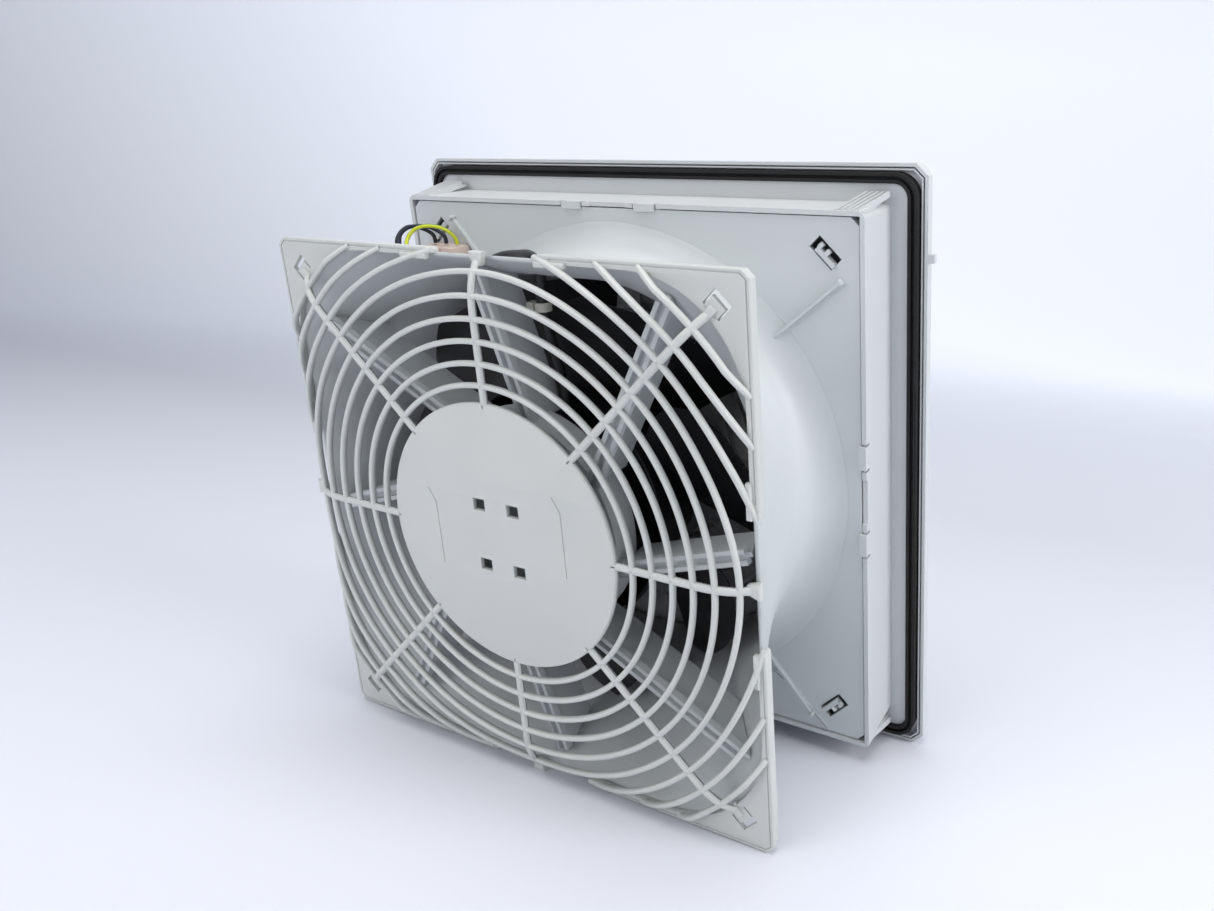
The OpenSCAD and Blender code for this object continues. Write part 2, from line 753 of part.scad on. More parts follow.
module motor_spider() {
    near = sqrt(hub_r * hub_r - strut_offset * strut_offset) - strut_cap_w;
    low = strut_y - strut_deep;
    color(light) seen() {
        difference() {
            union() {
                difference() {
                    for (k = [0:struts - 1]) strut(strut_turn + 360 * k / struts, near, low);
                    slab(low - over, strut_y + over) circle(r = hub_r - hub_wall / 2);
                }
                difference() {
                    slab(hub_y, strut_y) circle(r = hub_r);
                    slab(hub_y + hub_wall, strut_y + over) circle(r = hub_r - hub_wall);
                }
            }
            for (k = [0:struts - 1]) rotate(strut_turn + 360 * k / struts)
                translate([hub_r / 2, -strut_offset - strut_slot_w / 2, strut_y - strut_slot_deep])
                    cube([2 * throat_r, strut_slot_w, strut_slot_deep + over]);
            for (k = [0:screws - 1]) rotate(360 * k / screws + 45)
                translate([screw_at, 0, hub_y - over])
                    cylinder(r = screw_r + seat, h = strut_deep);
            translate([0, 0, hub_y - over]) cylinder(r = bearing_r + hub_wall, h = strut_deep);
        }
    }
}

// One strut: a deep thin vane under a grooved cap
module strut(a, near, low) {
    rotate(a) translate([0, -strut_offset, 0]) {
        rotate([90, 0, 0]) linear_extrude(strut_t, center = true) polygon(concat(
            [[near, low]],
            [for (p = strut_shares) [strut_end(a, strut_y - p * strut_deep),
                strut_y - p * strut_deep]],
            [[strut_end(a, strut_y - strut_slot_deep), strut_y], [near, strut_y]]
        ));
        translate([near, -strut_cap_w / 2, strut_y - strut_slot_deep - strut_t / 2])
            cube([strut_end(a, strut_y - strut_cap_w) - near, strut_cap_w,
                strut_slot_deep + strut_t / 2]);
    }
}

// Height of the ring field over the plate, from the distance to the guard edge
bend_shares = [[0, 0.32], [0.12, 0.55], [0.34, 0.8], [0.66, 0.95], [1, 1]];
function dome_points(w, drop) =
    let (h = w / 2)
    concat(
        [for (p = bend_shares) [-h + p[0] * dome_bend, guard_y + p[1] * dome_h - drop]],
        [for (i = [4:-1:0]) [h - bend_shares[i][0] * dome_bend,
            guard_y + bend_shares[i][1] * dome_h - drop]]
    );

// Solid below the pillow surface of the guard
module pillow(drop) {
    w = 2 * outlet_half + guard_t;
    far = outlet_far + guard_t;
    base = [[w / 2, guard_y - guard_t - drop], [-w / 2, guard_y - guard_t - drop]];
    intersection() {
        rotate([90, 0, 0]) linear_extrude(w, center = true)
            polygon(concat(dome_points(w, drop), base));
        rotate([90, 0, 90]) linear_extrude(w, center = true)
            polygon(concat(dome_points(w, drop), base));
        rotate_extrude() polygon(concat(
            [[0, guard_y - guard_t - drop], [far, guard_y - guard_t - drop]],
            [for (p = bend_shares) [far - p[0] * dome_bend, guard_y + p[1] * dome_h - drop]],
            [[0, guard_y + dome_h - drop]]
        ));
    }
}

module fan_guard() {
    plate = guard_y - guard_t;
    color(light) seen() {
        difference() {
            union() {
                for (k = [0:3]) rotate(90 * k) {
                    difference() {
                        slab(plate, guard_y) corner_outline();
                        edge_groove();
                    }
                    corner_skirt();
                }
            }
            slab(plate - over, guard_y + over) round_square(2 * outlet_half, outlet_r);
            for (k = [0:3]) rotate(90 * k + 45)
                translate([snap_far - snap_len, -snap_w / 2, plate - over])
                    cube([snap_len, snap_w, guard_t + 2 * over]);
        }
        for (k = [0:3]) rotate(90 * k + 45) snap_tongue();
        for (k = [0:3]) rotate(90 * k) ring_tabs();
        intersection() {
            difference() {
                pillow(0);
                pillow(ring_bar_t);
            }
            union() {
                slab(plate, depth_all + over) {
                    for (k = [0:rings - 1]) difference() {
                        circle(ring_first_r + k * ring_pitch + ring_bar_w / 2);
                        circle(ring_first_r + k * ring_pitch - ring_bar_w / 2);
                    }
                    for (k = [0:spokes - 1]) rotate(360 * k / spokes)
                        translate([disc_r - guard_t, -spoke_w / 2])
                            square([snap_far - disc_r, spoke_w]);
                }
            }
        }
        difference() {
            union() {
                translate([0, 0, depth_all - guard_t])
                    cylinder(r = disc_r, h = guard_t / 2);
                translate([0, 0, depth_all - guard_t / 2])
                    cylinder(r1 = disc_r, r2 = disc_r - guard_t / 2, h = guard_t / 2);
            }
            for (s = [-1, 1]) translate([s * arrow_x, s * arrow_x / 9 - arrow_long / 2,
                depth_all - arrow_deep]) half_arrow();
            for (sx = [-1, 1], sy = [-1, 1])
                translate([sx * window_x - window_w / 2, sy * window_z - window_h / 2,
                    depth_all - guard_t - over])
                    cube([window_w, window_h, guard_t + 2 * over]);
        }
    }
}

// Shallow line with half a head at its upper end
module half_arrow() {
    cube([arrow_w, arrow_long, over]);
    translate([0, arrow_long - arrow_w, 0]) rotate(30) cube([arrow_w, arrow_long / 4, over]);
}

// Outline of one corner plate, with rounded ends beside the straight spokes
module corner_outline() {
    edge = guard_w / 2;
    end_r = edge - outlet_half;
    intersection() {
        cut_square(guard_w, guard_cut);
        union() {
            translate([corner_from + end_r, corner_from + end_r]) square(edge);
            for (m = [0, 1]) mirror([m, -m]) {
                translate([outlet_half, corner_from + end_r]) square([end_r, edge]);
                translate([outlet_half, corner_from + end_r]) intersection() {
                    circle(end_r);
                    translate([0, -end_r]) square(2 * end_r);
                }
            }
        }
    }
}

// Narrow groove between a corner plate and its outer wall
module edge_groove() {
    t = guard_t / 3;
    slab(guard_y - guard_t / 2, guard_y + over) intersection() {
        difference() {
            cut_square(guard_w - 2 * t, guard_cut - t / 2);
            cut_square(guard_w - 3.6 * t, guard_cut - t);
        }
        translate([corner_from + guard_lip / 2, corner_from + guard_lip / 2]) square(guard_w);
    }
}

// The L shaped wall under a guard corner
module corner_skirt() {
    slab(guard_y - guard_skirt, guard_y - guard_t / 2) intersection() {
        difference() {
            cut_square(guard_w, guard_cut);
            cut_square(guard_w - guard_t, guard_cut);
        }
        translate([corner_from, corner_from]) square(guard_w);
    }
}

// Snap tongue at the outer end of a diagonal spoke
module snap_tongue() {
    w = snap_w - 1.2 * guard_t / 2;
    translate([snap_far - snap_len - over, -w / 2, guard_y - guard_t])
        cube([snap_len * 0.62 + over, w, guard_t]);
    translate([snap_far - snap_len, -spoke_w / 2, guard_y - guard_t / 2])
        cube([snap_len * 0.3, spoke_w, guard_t * 1.6]);
}

// Feet of a straight spoke and the two flat ends of the seventh ring on one side
module ring_tabs() {
    n = ceil((outlet_half + guard_t - ring_first_r) / ring_pitch);
    r = ring_first_r + n * ring_pitch;
    at = sqrt(r * r - outlet_half * outlet_half);
    translate([outlet_half - guard_t, -spoke_foot_w / 2, guard_y - guard_t / 2])
        cube([guard_w / 2 - outlet_half + guard_t / 2, spoke_foot_w, dome_h * 0.4]);
    for (s = [-1, 1]) translate([outlet_half - guard_t / 2,
        s * at - tab_ring_w / 2, guard_y - guard_t / 2])
        cube([guard_t, tab_ring_w, dome_h * 0.3]);
}

blade_stations = 6;
blade_chord = 12;
hub_len = blade_deep + 3;
// Radius of the hub surface at a share of the blade depth
hub_in_r = cup_r + hub_over_cup;
hub_out_r = hub_in_r + hub_flare;
function hub_at(s) = hub_in_r + (hub_out_r - hub_in_r) * s;
// Depth of the blade along its chord, bowed like an aerofoil camber
function blade_rise(s) = blade_deep * (s + 0.1 * sin(180 * s));
function blade_thick(s) = blade_t * (0.35 + 0.65 * sin(180 * min(1, s * 1.1)));

// Turn of the rear blade edge past the front edge, by share of the span
bow_shares = [[0, 0], [0.3, 0.8], [0.55, 1], [0.8, 0.8], [1, 0]];

function blade_point(i, j, side) =
    let (
        u = i / blade_stations, s = j / blade_chord,
        inner = hub_at(s) - cup_wall, outer = tip_r - tip_gap * (1 - s) * u,
        r = inner + (outer - inner) * u,
        wrap = wrap_hub + (wrap_tip - wrap_hub) * u + blade_bow * lookup(u, bow_shares),
        t = blade_start - blade_lead * u + wrap * s,
        y = blade_y + blade_rise(s) * (0.82 + 0.12 * u) + side * blade_thick(s) / 2
    )
    [r * cos(t), r * sin(t), y + blade_t];

module blade() {
    a = blade_stations + 1;
    b = blade_chord + 1;
    size = a * b;
    pts = concat(
        [for (i = [0:a - 1]) for (j = [0:b - 1]) blade_point(i, j, 1)],
        [for (i = [0:a - 1]) for (j = [0:b - 1]) blade_point(i, j, -1)]
    );
    skin = [for (i = [0:a - 2]) for (j = [0:b - 2]) each [
        [i * b + j, i * b + j + 1, (i + 1) * b + j + 1],
        [i * b + j, (i + 1) * b + j + 1, (i + 1) * b + j],
        [size + i * b + j + 1, size + i * b + j, size + (i + 1) * b + j + 1],
        [size + (i + 1) * b + j + 1, size + i * b + j, size + (i + 1) * b + j]
    ]];
    ends = [for (i = [0:a - 2]) each [
        [i * b, (i + 1) * b, size + i * b], [size + i * b, (i + 1) * b, size + (i + 1) * b],
        [(i + 1) * b + b - 1, i * b + b - 1, size + i * b + b - 1],
        [(i + 1) * b + b - 1, size + i * b + b - 1, size + (i + 1) * b + b - 1]
    ]];
    sides = [for (j = [0:b - 2]) each [
        [j + 1, j, size + j], [j + 1, size + j, size + j + 1],
        [(a - 1) * b + j, (a - 1) * b + j + 1, size + (a - 1) * b + j],
        [size + (a - 1) * b + j, (a - 1) * b + j + 1, size + (a - 1) * b + j + 1]
    ]];
    polyhedron(points = pts, faces = concat(skin, ends, sides), convexity = 6);
}

module impeller() {
    inner = cup_r + seat;
    top = blade_y + hub_len;
    color(dark) seen() {
        for (k = [0:blades - 1]) rotate(360 * k / blades) blade();
        rotate_extrude() polygon([
            [inner, blade_y], [hub_in_r, blade_y], [hub_out_r, top],
            [hub_out_r - cup_wall, top], [hub_in_r - 0.4 * cup_wall, blade_y + cup_len / 2],
            [inner + cup_wall, top - cup_wall], [inner, top - cup_wall]
        ]);
    }
}

cup_y = blade_y - cup_wall;
core_y = cup_y + cup_wall + bearing_w / 2 + 6 * cup_wall;
flange_y = hub_y - flange_t - seat;

module rotor_cup() {
    color("#2a2b2d") seen() difference() {
        translate([0, 0, cup_y]) rotate_extrude() polygon([
            [0, 0], [cup_r - 2 * cup_wall, 0], [cup_r, 2 * cup_wall], [cup_r, cup_len],
            [cup_r - cup_wall, cup_len], [cup_r - cup_wall, 2.4 * cup_wall],
            [cup_r - 2.4 * cup_wall, cup_wall], [2.4 * shaft_r, cup_wall],
            [2 * shaft_r, 3 * cup_wall], [0, 3 * cup_wall]
        ]);
        translate([0, 0, cup_y - over]) cylinder(r = shaft_r, h = cup_len);
    }
}

module magnet_ring() {
    color("#55585c") seen() translate([0, 0, core_y - cup_wall]) difference() {
        cylinder(r = cup_r - cup_wall - seat / 2, h = stator_h + 2 * cup_wall);
        translate([0, 0, -over])
            cylinder(r = stator_r + air_gap, h = stator_h + 2 * cup_wall + 2 * over);
    }
}

shaft_top_y = flange_y + flange_t + bearing_w / 2;

module motor_shaft() {
    color("#b9bcc0") seen() difference() {
        translate([0, 0, cup_y]) cylinder(r = shaft_r, h = shaft_top_y - cup_y);
        translate([0, 0, shaft_top_y - bearing_w / 3]) difference() {
            cylinder(r = shaft_r + over, h = bearing_w / 7);
            translate([0, 0, -over]) cylinder(r = 0.8 * shaft_r, h = bearing_w);
        }
    }
}

tube_low_y = cup_y + 3 * cup_wall + cup_wall / 2;
tube_wall = 1.8;

// Two races and a row of balls
module bearing_at(low) {
    mid = (shaft_r + bearing_r) / 2;
    race = (bearing_r - shaft_r) / 3.4;
    ball = (bearing_r - shaft_r) / 2 - race - seat / 5;
    color("#c4c7ca") seen() translate([0, 0, low]) {
        difference() {
            cylinder(r = bearing_r, h = bearing_w);
            translate([0, 0, -over]) cylinder(r = bearing_r - race, h = bearing_w + 2 * over);
        }
        difference() {
            cylinder(r = shaft_r + race, h = bearing_w);
            translate([0, 0, -over]) cylinder(r = shaft_r + shaft_play, h = bearing_w + 2 * over);
        }
        for (k = [0:balls - 1]) rotate(360 * k / balls)
            translate([mid, 0, bearing_w / 2]) sphere(ball);
    }
}

module front_bearing() { bearing_at(tube_low_y); }
module rear_bearing() { bearing_at(flange_y + flange_t / 2 - bearing_w); }

core_hole = bearing_r + tube_wall + seat;

module stator_core() {
    yoke = core_hole + (stator_r - core_hole) * 0.28;
    color("#7b7f84") seen() translate([0, 0, core_y]) linear_extrude(stator_h) difference() {
        union() {
            circle(yoke);
            for (k = [0:teeth - 1]) rotate(360 * k / teeth)
                translate([yoke - over, -stator_r * 0.06])
                    square([stator_r - yoke, stator_r * 0.12]);
            difference() {
                circle(stator_r);
                circle(stator_r * 0.93);
                for (k = [0:teeth - 1]) rotate(360 * (k + 0.5) / teeth)
                    translate([0, -stator_r * 0.04]) square([2 * stator_r, stator_r * 0.08]);
            }
        }
        circle(core_hole);
    }
}

// One coil round each tooth
module stator_windings() {
    from = core_hole + (stator_r - core_hole) * 0.34;
    to = stator_r * 0.91;
    tooth = stator_r * 0.12 + 2 * seat;
    fat = stator_r * 0.045;
    color("#b5713a") seen() for (k = [0:teeth - 1]) rotate(360 * k / teeth)
        difference() {
            translate([from, -tooth / 2 - fat, core_y - 2 * fat])
                cube([to - from, tooth + 2 * fat, stator_h + 4 * fat]);
            translate([from - over, -tooth / 2, core_y - seat])
                cube([to - from + 2 * over, tooth, stator_h + 2 * seat]);
        }
}

module motor_flange() {
    color("#aeb2b5") seen() difference() {
        union() {
            translate([0, 0, flange_y]) cylinder(r = flange_r, h = flange_t);
            translate([0, 0, tube_low_y])
                cylinder(r = bearing_r + tube_wall, h = flange_y - tube_low_y + over);
            for (k = [0:screws - 1]) rotate(360 * k / screws + 45)
                translate([screw_at, 0, flange_y - 2 * flange_t])
                    cylinder(r = 2 * screw_r, h = 2 * flange_t + over);
        }
        translate([0, 0, tube_low_y - over])
            cylinder(r = bearing_r, h = bearing_w + over);
        translate([0, 0, tube_low_y + bearing_w - over])
            cylinder(r = bearing_r - tube_wall, h = shaft_top_y - tube_low_y);
        translate([0, 0, flange_y + flange_t / 2 - bearing_w])
            cylinder(r = bearing_r, h = 2 * bearing_w);
        for (k = [0:screws - 1]) rotate(360 * k / screws + 45)
            translate([screw_at, 0, flange_y - 1.5 * flange_t])
                cylinder(r = screw_r + seat / 10, h = 3 * flange_t);
    }
}

module motor_screws() {
    head = hub_y + hub_wall + seat;
    color("#c9ccd0") seen() for (k = [0:screws - 1]) rotate(360 * k / screws + 45)
        translate([screw_at, 0, 0]) difference() {
            union() {
                translate([0, 0, flange_y - flange_t])
                    cylinder(r = screw_r, h = head - flange_y + flange_t + over / 2);
                translate([0, 0, head]) cylinder(r = 1.9 * screw_r, h = 1.2 * screw_r);
            }
            for (a = [0, 90]) rotate(a) translate([-screw_r, -screw_r / 5, head + screw_r / 2])
                cube([2 * screw_r, screw_r / 2.5, 2 * screw_r]);
        }
}

module shaft_ring() {
    low = shaft_top_y - bearing_w / 3 + seat / 2;
    color("#8f9297") seen() translate([0, 0, low]) linear_extrude(bearing_w / 7 - seat)
        difference() {
            circle(1.7 * shaft_r);
            circle(0.8 * shaft_r + seat / 2);
            translate([0, -shaft_r / 2]) square([2 * shaft_r, shaft_r]);
        }
}

module spring_washer() {
    low = tube_low_y + bearing_w + seat;
    color("#a9acb0") seen() translate([0, 0, low]) difference() {
        cylinder(r = bearing_r - tube_wall - seat, h = shaft_r / 5);
        translate([0, 0, -over]) cylinder(r = shaft_r + 2 * tube_wall / 3, h = shaft_r);
    }
}

// Terminal block on the carrier face, behind the guard corner
module terminal_block() {
    pole = term_w / poles;
    color("#d9c3b8") seen() translate([-term_x, term_z, carrier_y + seat]) difference() {
        translate([-term_w / 2, -term_h / 2, 0]) cube([term_w, term_h, term_deep]);
        for (k = [0:poles - 1]) translate([(k + 0.5) * pole - term_w / 2, 0, 0]) {
            translate([0, term_h / 2 + over, term_deep * 0.4]) rotate([90, 0, 0])
                cylinder(r = entry_r, h = term_h * 0.6 + over);
            translate([0, -term_h / 5, term_deep * 0.35])
                cylinder(r = 1.5 * entry_r, h = term_deep);
        }
        for (k = [1:poles - 1]) translate([k * pole - term_w / 2 - seat * 4, -term_h, term_deep * 0.8])
            cube([8 * seat, 2 * term_h, term_deep]);
    }
}

module terminal_screws() {
    pole = term_w / poles;
    low = carrier_y + seat + term_deep * 0.35 + seat;
    color("#c3c6c9") seen() for (k = [0:poles - 1])
        translate([(k + 0.5) * pole - term_w / 2 - term_x, term_z - term_h / 5, low]) difference() {
            cylinder(r = 1.5 * entry_r - seat, h = term_deep * 0.45);
            translate([-2 * entry_r, -entry_r / 4, term_deep * 0.36])
                cube([4 * entry_r, entry_r / 2, term_deep]);
        }
}

// Routes of the leads, from the middle of the terminal block and the carrier plate
function from_block(pts) = [for (p = pts) p + [-term_x, term_z, carrier_y]];
live_turns = [
    [-8.5, 8.5, 6], [-9, 13.5, 7], [-13, 17.5, 11], [-19, 18.5, 15], [-23, 13.5, 19],
    [-21, 6.5, 22], [-13, 0.5, 24], [-1, -5.5, 24], [11, -9.5, 23], [19, -11.1, 23.2],
    [26, -9.9, 25]
];
neutral_turns = [
    [0, 8.5, 6], [-0.5, 13.5, 7], [-5, 18.5, 12], [-12, 19.5, 18], [-17, 15.5, 22],
    [-15, 8.5, 25], [-7, 2.5, 27], [4, -4.5, 27.6], [13, -8.5, 26], [19.5, -10.3, 25.6],
    [26.6, -8.9, 27.2]
];
earth_turns = [
    [8.5, 8.5, 6], [8.5, 13.5, 8], [6, 18.5, 13], [1, 20.5, 19], [-5, 18.5, 23],
    [-7, 12.5, 27], [-3, 5.5, 30], [5, -1.5, 30.6], [13.4, -5.9, 28.6], [19.4, -7.7, 26],
    [26, -7.5, 25.4]
];

lead_sides = 8;
function unit(v) = v / norm(v);
function curve(p, q, r, s, t) =
    0.5 * ((2 * q) + (r - p) * t + (2 * p - 5 * q + 4 * r - s) * t * t
        + (3 * q - p - 3 * r + s) * t * t * t);
function smooth(pts, n) = let (m = len(pts)) [
    for (i = [0:m - 2]) for (k = [0:n - 1])
        curve(pts[max(i - 1, 0)], pts[i], pts[i + 1], pts[min(i + 2, m - 1)], k / n),
    pts[m - 1]
];

// Round tube along a line of points
module tube(route, r, n = 3) {
    pts = smooth(route, n);
    m = len(pts);
    sides = lead_sides;
    along = [for (i = [0:m - 1]) unit(pts[min(i + 1, m - 1)] - pts[max(i - 1, 0)])];
    base = [for (i = [0:m - 1]) unit(cross(along[i], [0.31, 0.17, 0.93]))];
    rim = [for (i = [0:m - 1]) for (k = [0:sides - 1])
        pts[i] + r * (base[i] * cos(360 * k / sides)
            + cross(along[i], base[i]) * sin(360 * k / sides))];
    walls = [for (i = [0:m - 2]) for (k = [0:sides - 1])
        let (a = i * sides + k, b = i * sides + (k + 1) % sides)
        each [[a, a + sides, b], [b, a + sides, b + sides]]];
    first = [for (k = [0:sides - 1]) k];
    last = [for (k = [sides - 1:-1:0]) (m - 1) * sides + k];
    polyhedron(points = rim, faces = concat(walls, [first, last]), convexity = 6);
}

module lead_live() { color("#1a1b22") seen() tube(from_block(live_turns), lead_r); }
module lead_neutral() { color("#1a1b22") seen() tube(from_block(neutral_turns), lead_r); }
module lead_earth() { color("#b9c23a") seen() tube(from_block(earth_turns), lead_r); }

// Start of the sleeve from the terminal block, then its way over and into the duct as
// shares of the throat radius: to the side, up, and back from the guard
sleeve_start = [[27, -8.5, 26], [40, -2.5, 29]];
sleeve_shares = [
    [-0.5, 1.009, 0.5045], [-0.3214, 1.067, 0.442], [-0.1429, 1.098, 0.3616],
    [-0.008929, 1.116, 0.2812], [0.0625, 1.094, 0.2402], [0.07589, 1.036, 0.2366],
    [0.07679, 0.9196, 0.2366], [0.09375, 0.7857, 0.2366], [0.1295, 0.625, 0.2366],
    [0.1429, 0.5, 0.2366], [0.1339, 0.3973, 0.2366], [0.1161, 0.2946, 0.2366]
];
sleeve_gap = 0.8;
sleeve_route = concat(from_block(sleeve_start),
    [for (p = sleeve_shares) [p[0] * throat_r, p[1] * throat_r, guard_y - p[2] * throat_r]]);
// Where it passes the duct wall, and where the tie holds it
sleeve_hole = sleeve_route[7];
tie_at = sleeve_route[8];

module lead_sleeve() { color("#17181a") seen() tube(sleeve_route, sleeve_r); }

// Cable tie round the sleeve inside the duct
module lead_tie() {
    wide = 1.5 * sleeve_r;
    color("#d8cfb4") seen() translate(tie_at) {
        rotate([90, 0, 0]) difference() {
            cylinder(r = sleeve_r + lead_r, h = wide, center = true);
            cylinder(r = sleeve_r + seat, h = 2 * wide, center = true);
        }
        translate([-2.6 * sleeve_r - seat, -wide / 2, -sleeve_r / 2])
            cube([1.4 * sleeve_r, wide, 1.6 * sleeve_r]);
    }
}

mounting_frame();
panel_gasket();
louvre_grille();
filter_mat();
inlet_grid();
fan_carrier();
air_duct();
motor_spider();
fan_guard();
impeller();
rotor_cup();
magnet_ring();
motor_shaft();
front_bearing();
rear_bearing();
stator_core();
stator_windings();
motor_flange();
motor_screws();
shaft_ring();
spring_washer();
terminal_block();
terminal_screws();
lead_live();
lead_neutral();
lead_earth();
lead_sleeve();
lead_tie();
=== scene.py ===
"""Looks of a filter fan: moulded frame, gasket, carrier, duct, impeller, ring guard and wiring.

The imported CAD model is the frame. Each sub-assembly is a class with its sizes as fields. Sizes
are in millimetres in "fan space": x to the right as seen from inside the enclosure, y up, z along
the fan axis from the panel into the enclosure. One matrix turns that into the row frame in metres.
"""

from __future__ import annotations

import json
import logging
import math
from collections.abc import Mapping, Sequence
from dataclasses import dataclass, field
from enum import Enum

import bmesh
import bpy
from bpy.types import ID, Material, Mesh, Node, NodeSocket, NodeTree, Object, World
from mathutils import Matrix, Vector, noise

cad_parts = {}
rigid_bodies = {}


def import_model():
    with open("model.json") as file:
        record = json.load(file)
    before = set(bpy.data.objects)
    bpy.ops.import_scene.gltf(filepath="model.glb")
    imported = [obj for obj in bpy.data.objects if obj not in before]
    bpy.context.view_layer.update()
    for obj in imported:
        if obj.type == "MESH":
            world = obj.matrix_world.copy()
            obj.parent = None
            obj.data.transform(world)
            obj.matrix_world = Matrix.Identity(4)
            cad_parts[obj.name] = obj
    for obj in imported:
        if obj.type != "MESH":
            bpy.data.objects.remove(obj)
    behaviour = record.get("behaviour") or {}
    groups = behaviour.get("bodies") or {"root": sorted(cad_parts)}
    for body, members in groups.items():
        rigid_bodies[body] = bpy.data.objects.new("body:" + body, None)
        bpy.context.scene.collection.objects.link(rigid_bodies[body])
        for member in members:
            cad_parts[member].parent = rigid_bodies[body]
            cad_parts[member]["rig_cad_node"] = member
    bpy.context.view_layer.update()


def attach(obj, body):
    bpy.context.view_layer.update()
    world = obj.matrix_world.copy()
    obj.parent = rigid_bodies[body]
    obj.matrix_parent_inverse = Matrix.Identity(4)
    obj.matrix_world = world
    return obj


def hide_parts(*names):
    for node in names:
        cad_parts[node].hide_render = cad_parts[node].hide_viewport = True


log = logging.getLogger("filter_fan")

MM = 0.001
FAN_TO_ROW = Matrix(((-MM, 0, 0, 0), (0, 0, MM, 0), (0, MM, 0, 0), (0, 0, 0, 1)))
PHOTO_WIDTH = 1214
PHOTO_HEIGHT = 911
FULL_TURN = 2 * math.pi
# Distance under which points of a dressed CAD mesh are one, in metres.
CAD_WELD = 0.004 * MM
# The same for the plates made here, in millimetres.
PLATE_WELD = 0.001
# Values that a noise seldom leaves.
NOISE_RANGE = (0.3, 0.7)

Inputs = Mapping[str | int, object]
Loop = list[tuple[float, float]]
Layer = tuple[str, Sequence[Loop], float, float, float]
Rings = Sequence[Sequence[tuple[float, float, float]]]
Shares = tuple[tuple[float, float], ...]


class Body(str, Enum):
    """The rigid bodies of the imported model."""

    HOUSING = "housing"
    ROTOR = "rotor"
    LOUVRE = "louvre"


# --- node trees


def add_node(tree: NodeTree, kind: str, inputs: Inputs | None = None, **settings: object) -> Node:
    """Add one node with its settings, values and links.

    Args:
        tree: Tree that gets the node.
        kind: Blender's name of the node type.
        inputs: Socket name or index to a value, or to the socket that feeds it.
        **settings: Properties of the node itself.

    Returns:
        The new node.
    """
    node = tree.nodes.new(kind)
    for name, value in settings.items():
        setattr(node, name, value)
    for key, value in (inputs or {}).items():
        socket = node.inputs[key]
        if isinstance(value, NodeSocket):
            tree.links.new(value, socket)
        else:
            socket.default_value = value
    return node


def feed(tree: NodeTree, kind: str, inputs: Inputs | None = None, **settings: object) -> NodeSocket:
    """Add one node and return its first output."""
    return add_node(tree, kind, inputs, **settings).outputs[0]


def calc(tree: NodeTree, operation: str, *values: object) -> NodeSocket:
    """Add a math node and return its result."""
    return feed(tree, "ShaderNodeMath", dict(enumerate(values)), operation=operation)


def noise_field(tree: NodeTree, place: NodeSocket, size_mm: float, **inputs: float) -> NodeSocket:
    """Add a noise whose features have about one size, and return its value."""
    given = {"Vector": place, "Scale": 1 / (size_mm * MM), **inputs}
    return add_node(tree, "ShaderNodeTexNoise", given).outputs["Fac"]


def ramp(tree: NodeTree, value: NodeSocket, *ends: float) -> NodeSocket:
    """Map a value from the first two ends to the last two and return it."""
    labels = ("From Min", "From Max", "To Min", "To Max")
    return feed(tree, "ShaderNodeMapRange", {"Value": value, **dict(zip(labels, ends))})


def blank_tree(owner: Material | World) -> NodeTree:
    """Switch on the nodes of a material or a world and clear them.

    Args:
        owner: The material or world.

    Returns:
        Its empty tree.
    """
    owner.use_nodes = True
    owner.node_tree.nodes.clear()
    return owner.node_tree


def linear(code: str) -> tuple[float, float, float, float]:
    """Turn an sRGB hex colour into the linear RGBA that Blender's sockets take."""
    parts = [int(code[i : i + 2], 16) / 255 for i in (1, 3, 5)]
    return (*(p / 12.92 if p <= 0.04045 else ((p + 0.055) / 1.055) ** 2.4 for p in parts), 1.0)


def mixed(tree: NodeTree, share: NodeSocket, first: str, second: str) -> NodeSocket:
    """Mix two hex colours by a share and return the result."""
    inputs = {0: share, 6: linear(first), 7: linear(second)}
    return add_node(tree, "ShaderNodeMix", inputs, data_type="RGBA").outputs[2]


def new_group(
    name: str, sizes: Mapping[str, float], geometry: bool = True
) -> tuple[NodeTree, Sequence[NodeSocket]]:
    """Start a geometry node group with its inputs and its output.

    Args:
        name: Name of the group.
        sizes: Label to value of each number that the group takes.
        geometry: Whether it takes geometry too.

    Returns:
        The group and the sockets that its inputs come from.
    """
    tree = bpy.data.node_groups.new(name, "GeometryNodeTree")
    face = tree.interface
    if geometry:
        face.new_socket("Geometry", in_out="INPUT", socket_type="NodeSocketGeometry")
    for label, value in sizes.items():
        kind = "NodeSocketInt" if isinstance(value, int) else "NodeSocketFloat"
        face.new_socket(label, in_out="INPUT", socket_type=kind).default_value = value
    face.new_socket("Geometry", in_out="OUTPUT", socket_type="NodeSocketGeometry")
    return tree, add_node(tree, "NodeGroupInput").outputs


def spun(tree: NodeTree, instance: NodeSocket, count: NodeSocket) -> NodeSocket:
    """Repeat geometry round the fan axis.

    Args:
        tree: Tree that gets the nodes.
        instance: Geometry of the first copy.
        count: Number of copies.

    Returns:
        The instances.
    """
    index = feed(tree, "GeometryNodeInputIndex")
    turn = calc(tree, "MULTIPLY", index, calc(tree, "DIVIDE", FULL_TURN, count))
    inputs = {
        "Points": feed(tree, "GeometryNodePoints", {"Count": count}),
        "Instance": instance,
        "Rotation": feed(tree, "ShaderNodeCombineXYZ", {2: turn}),
    }
    return feed(tree, "GeometryNodeInstanceOnPoints", inputs)


# --- finishes


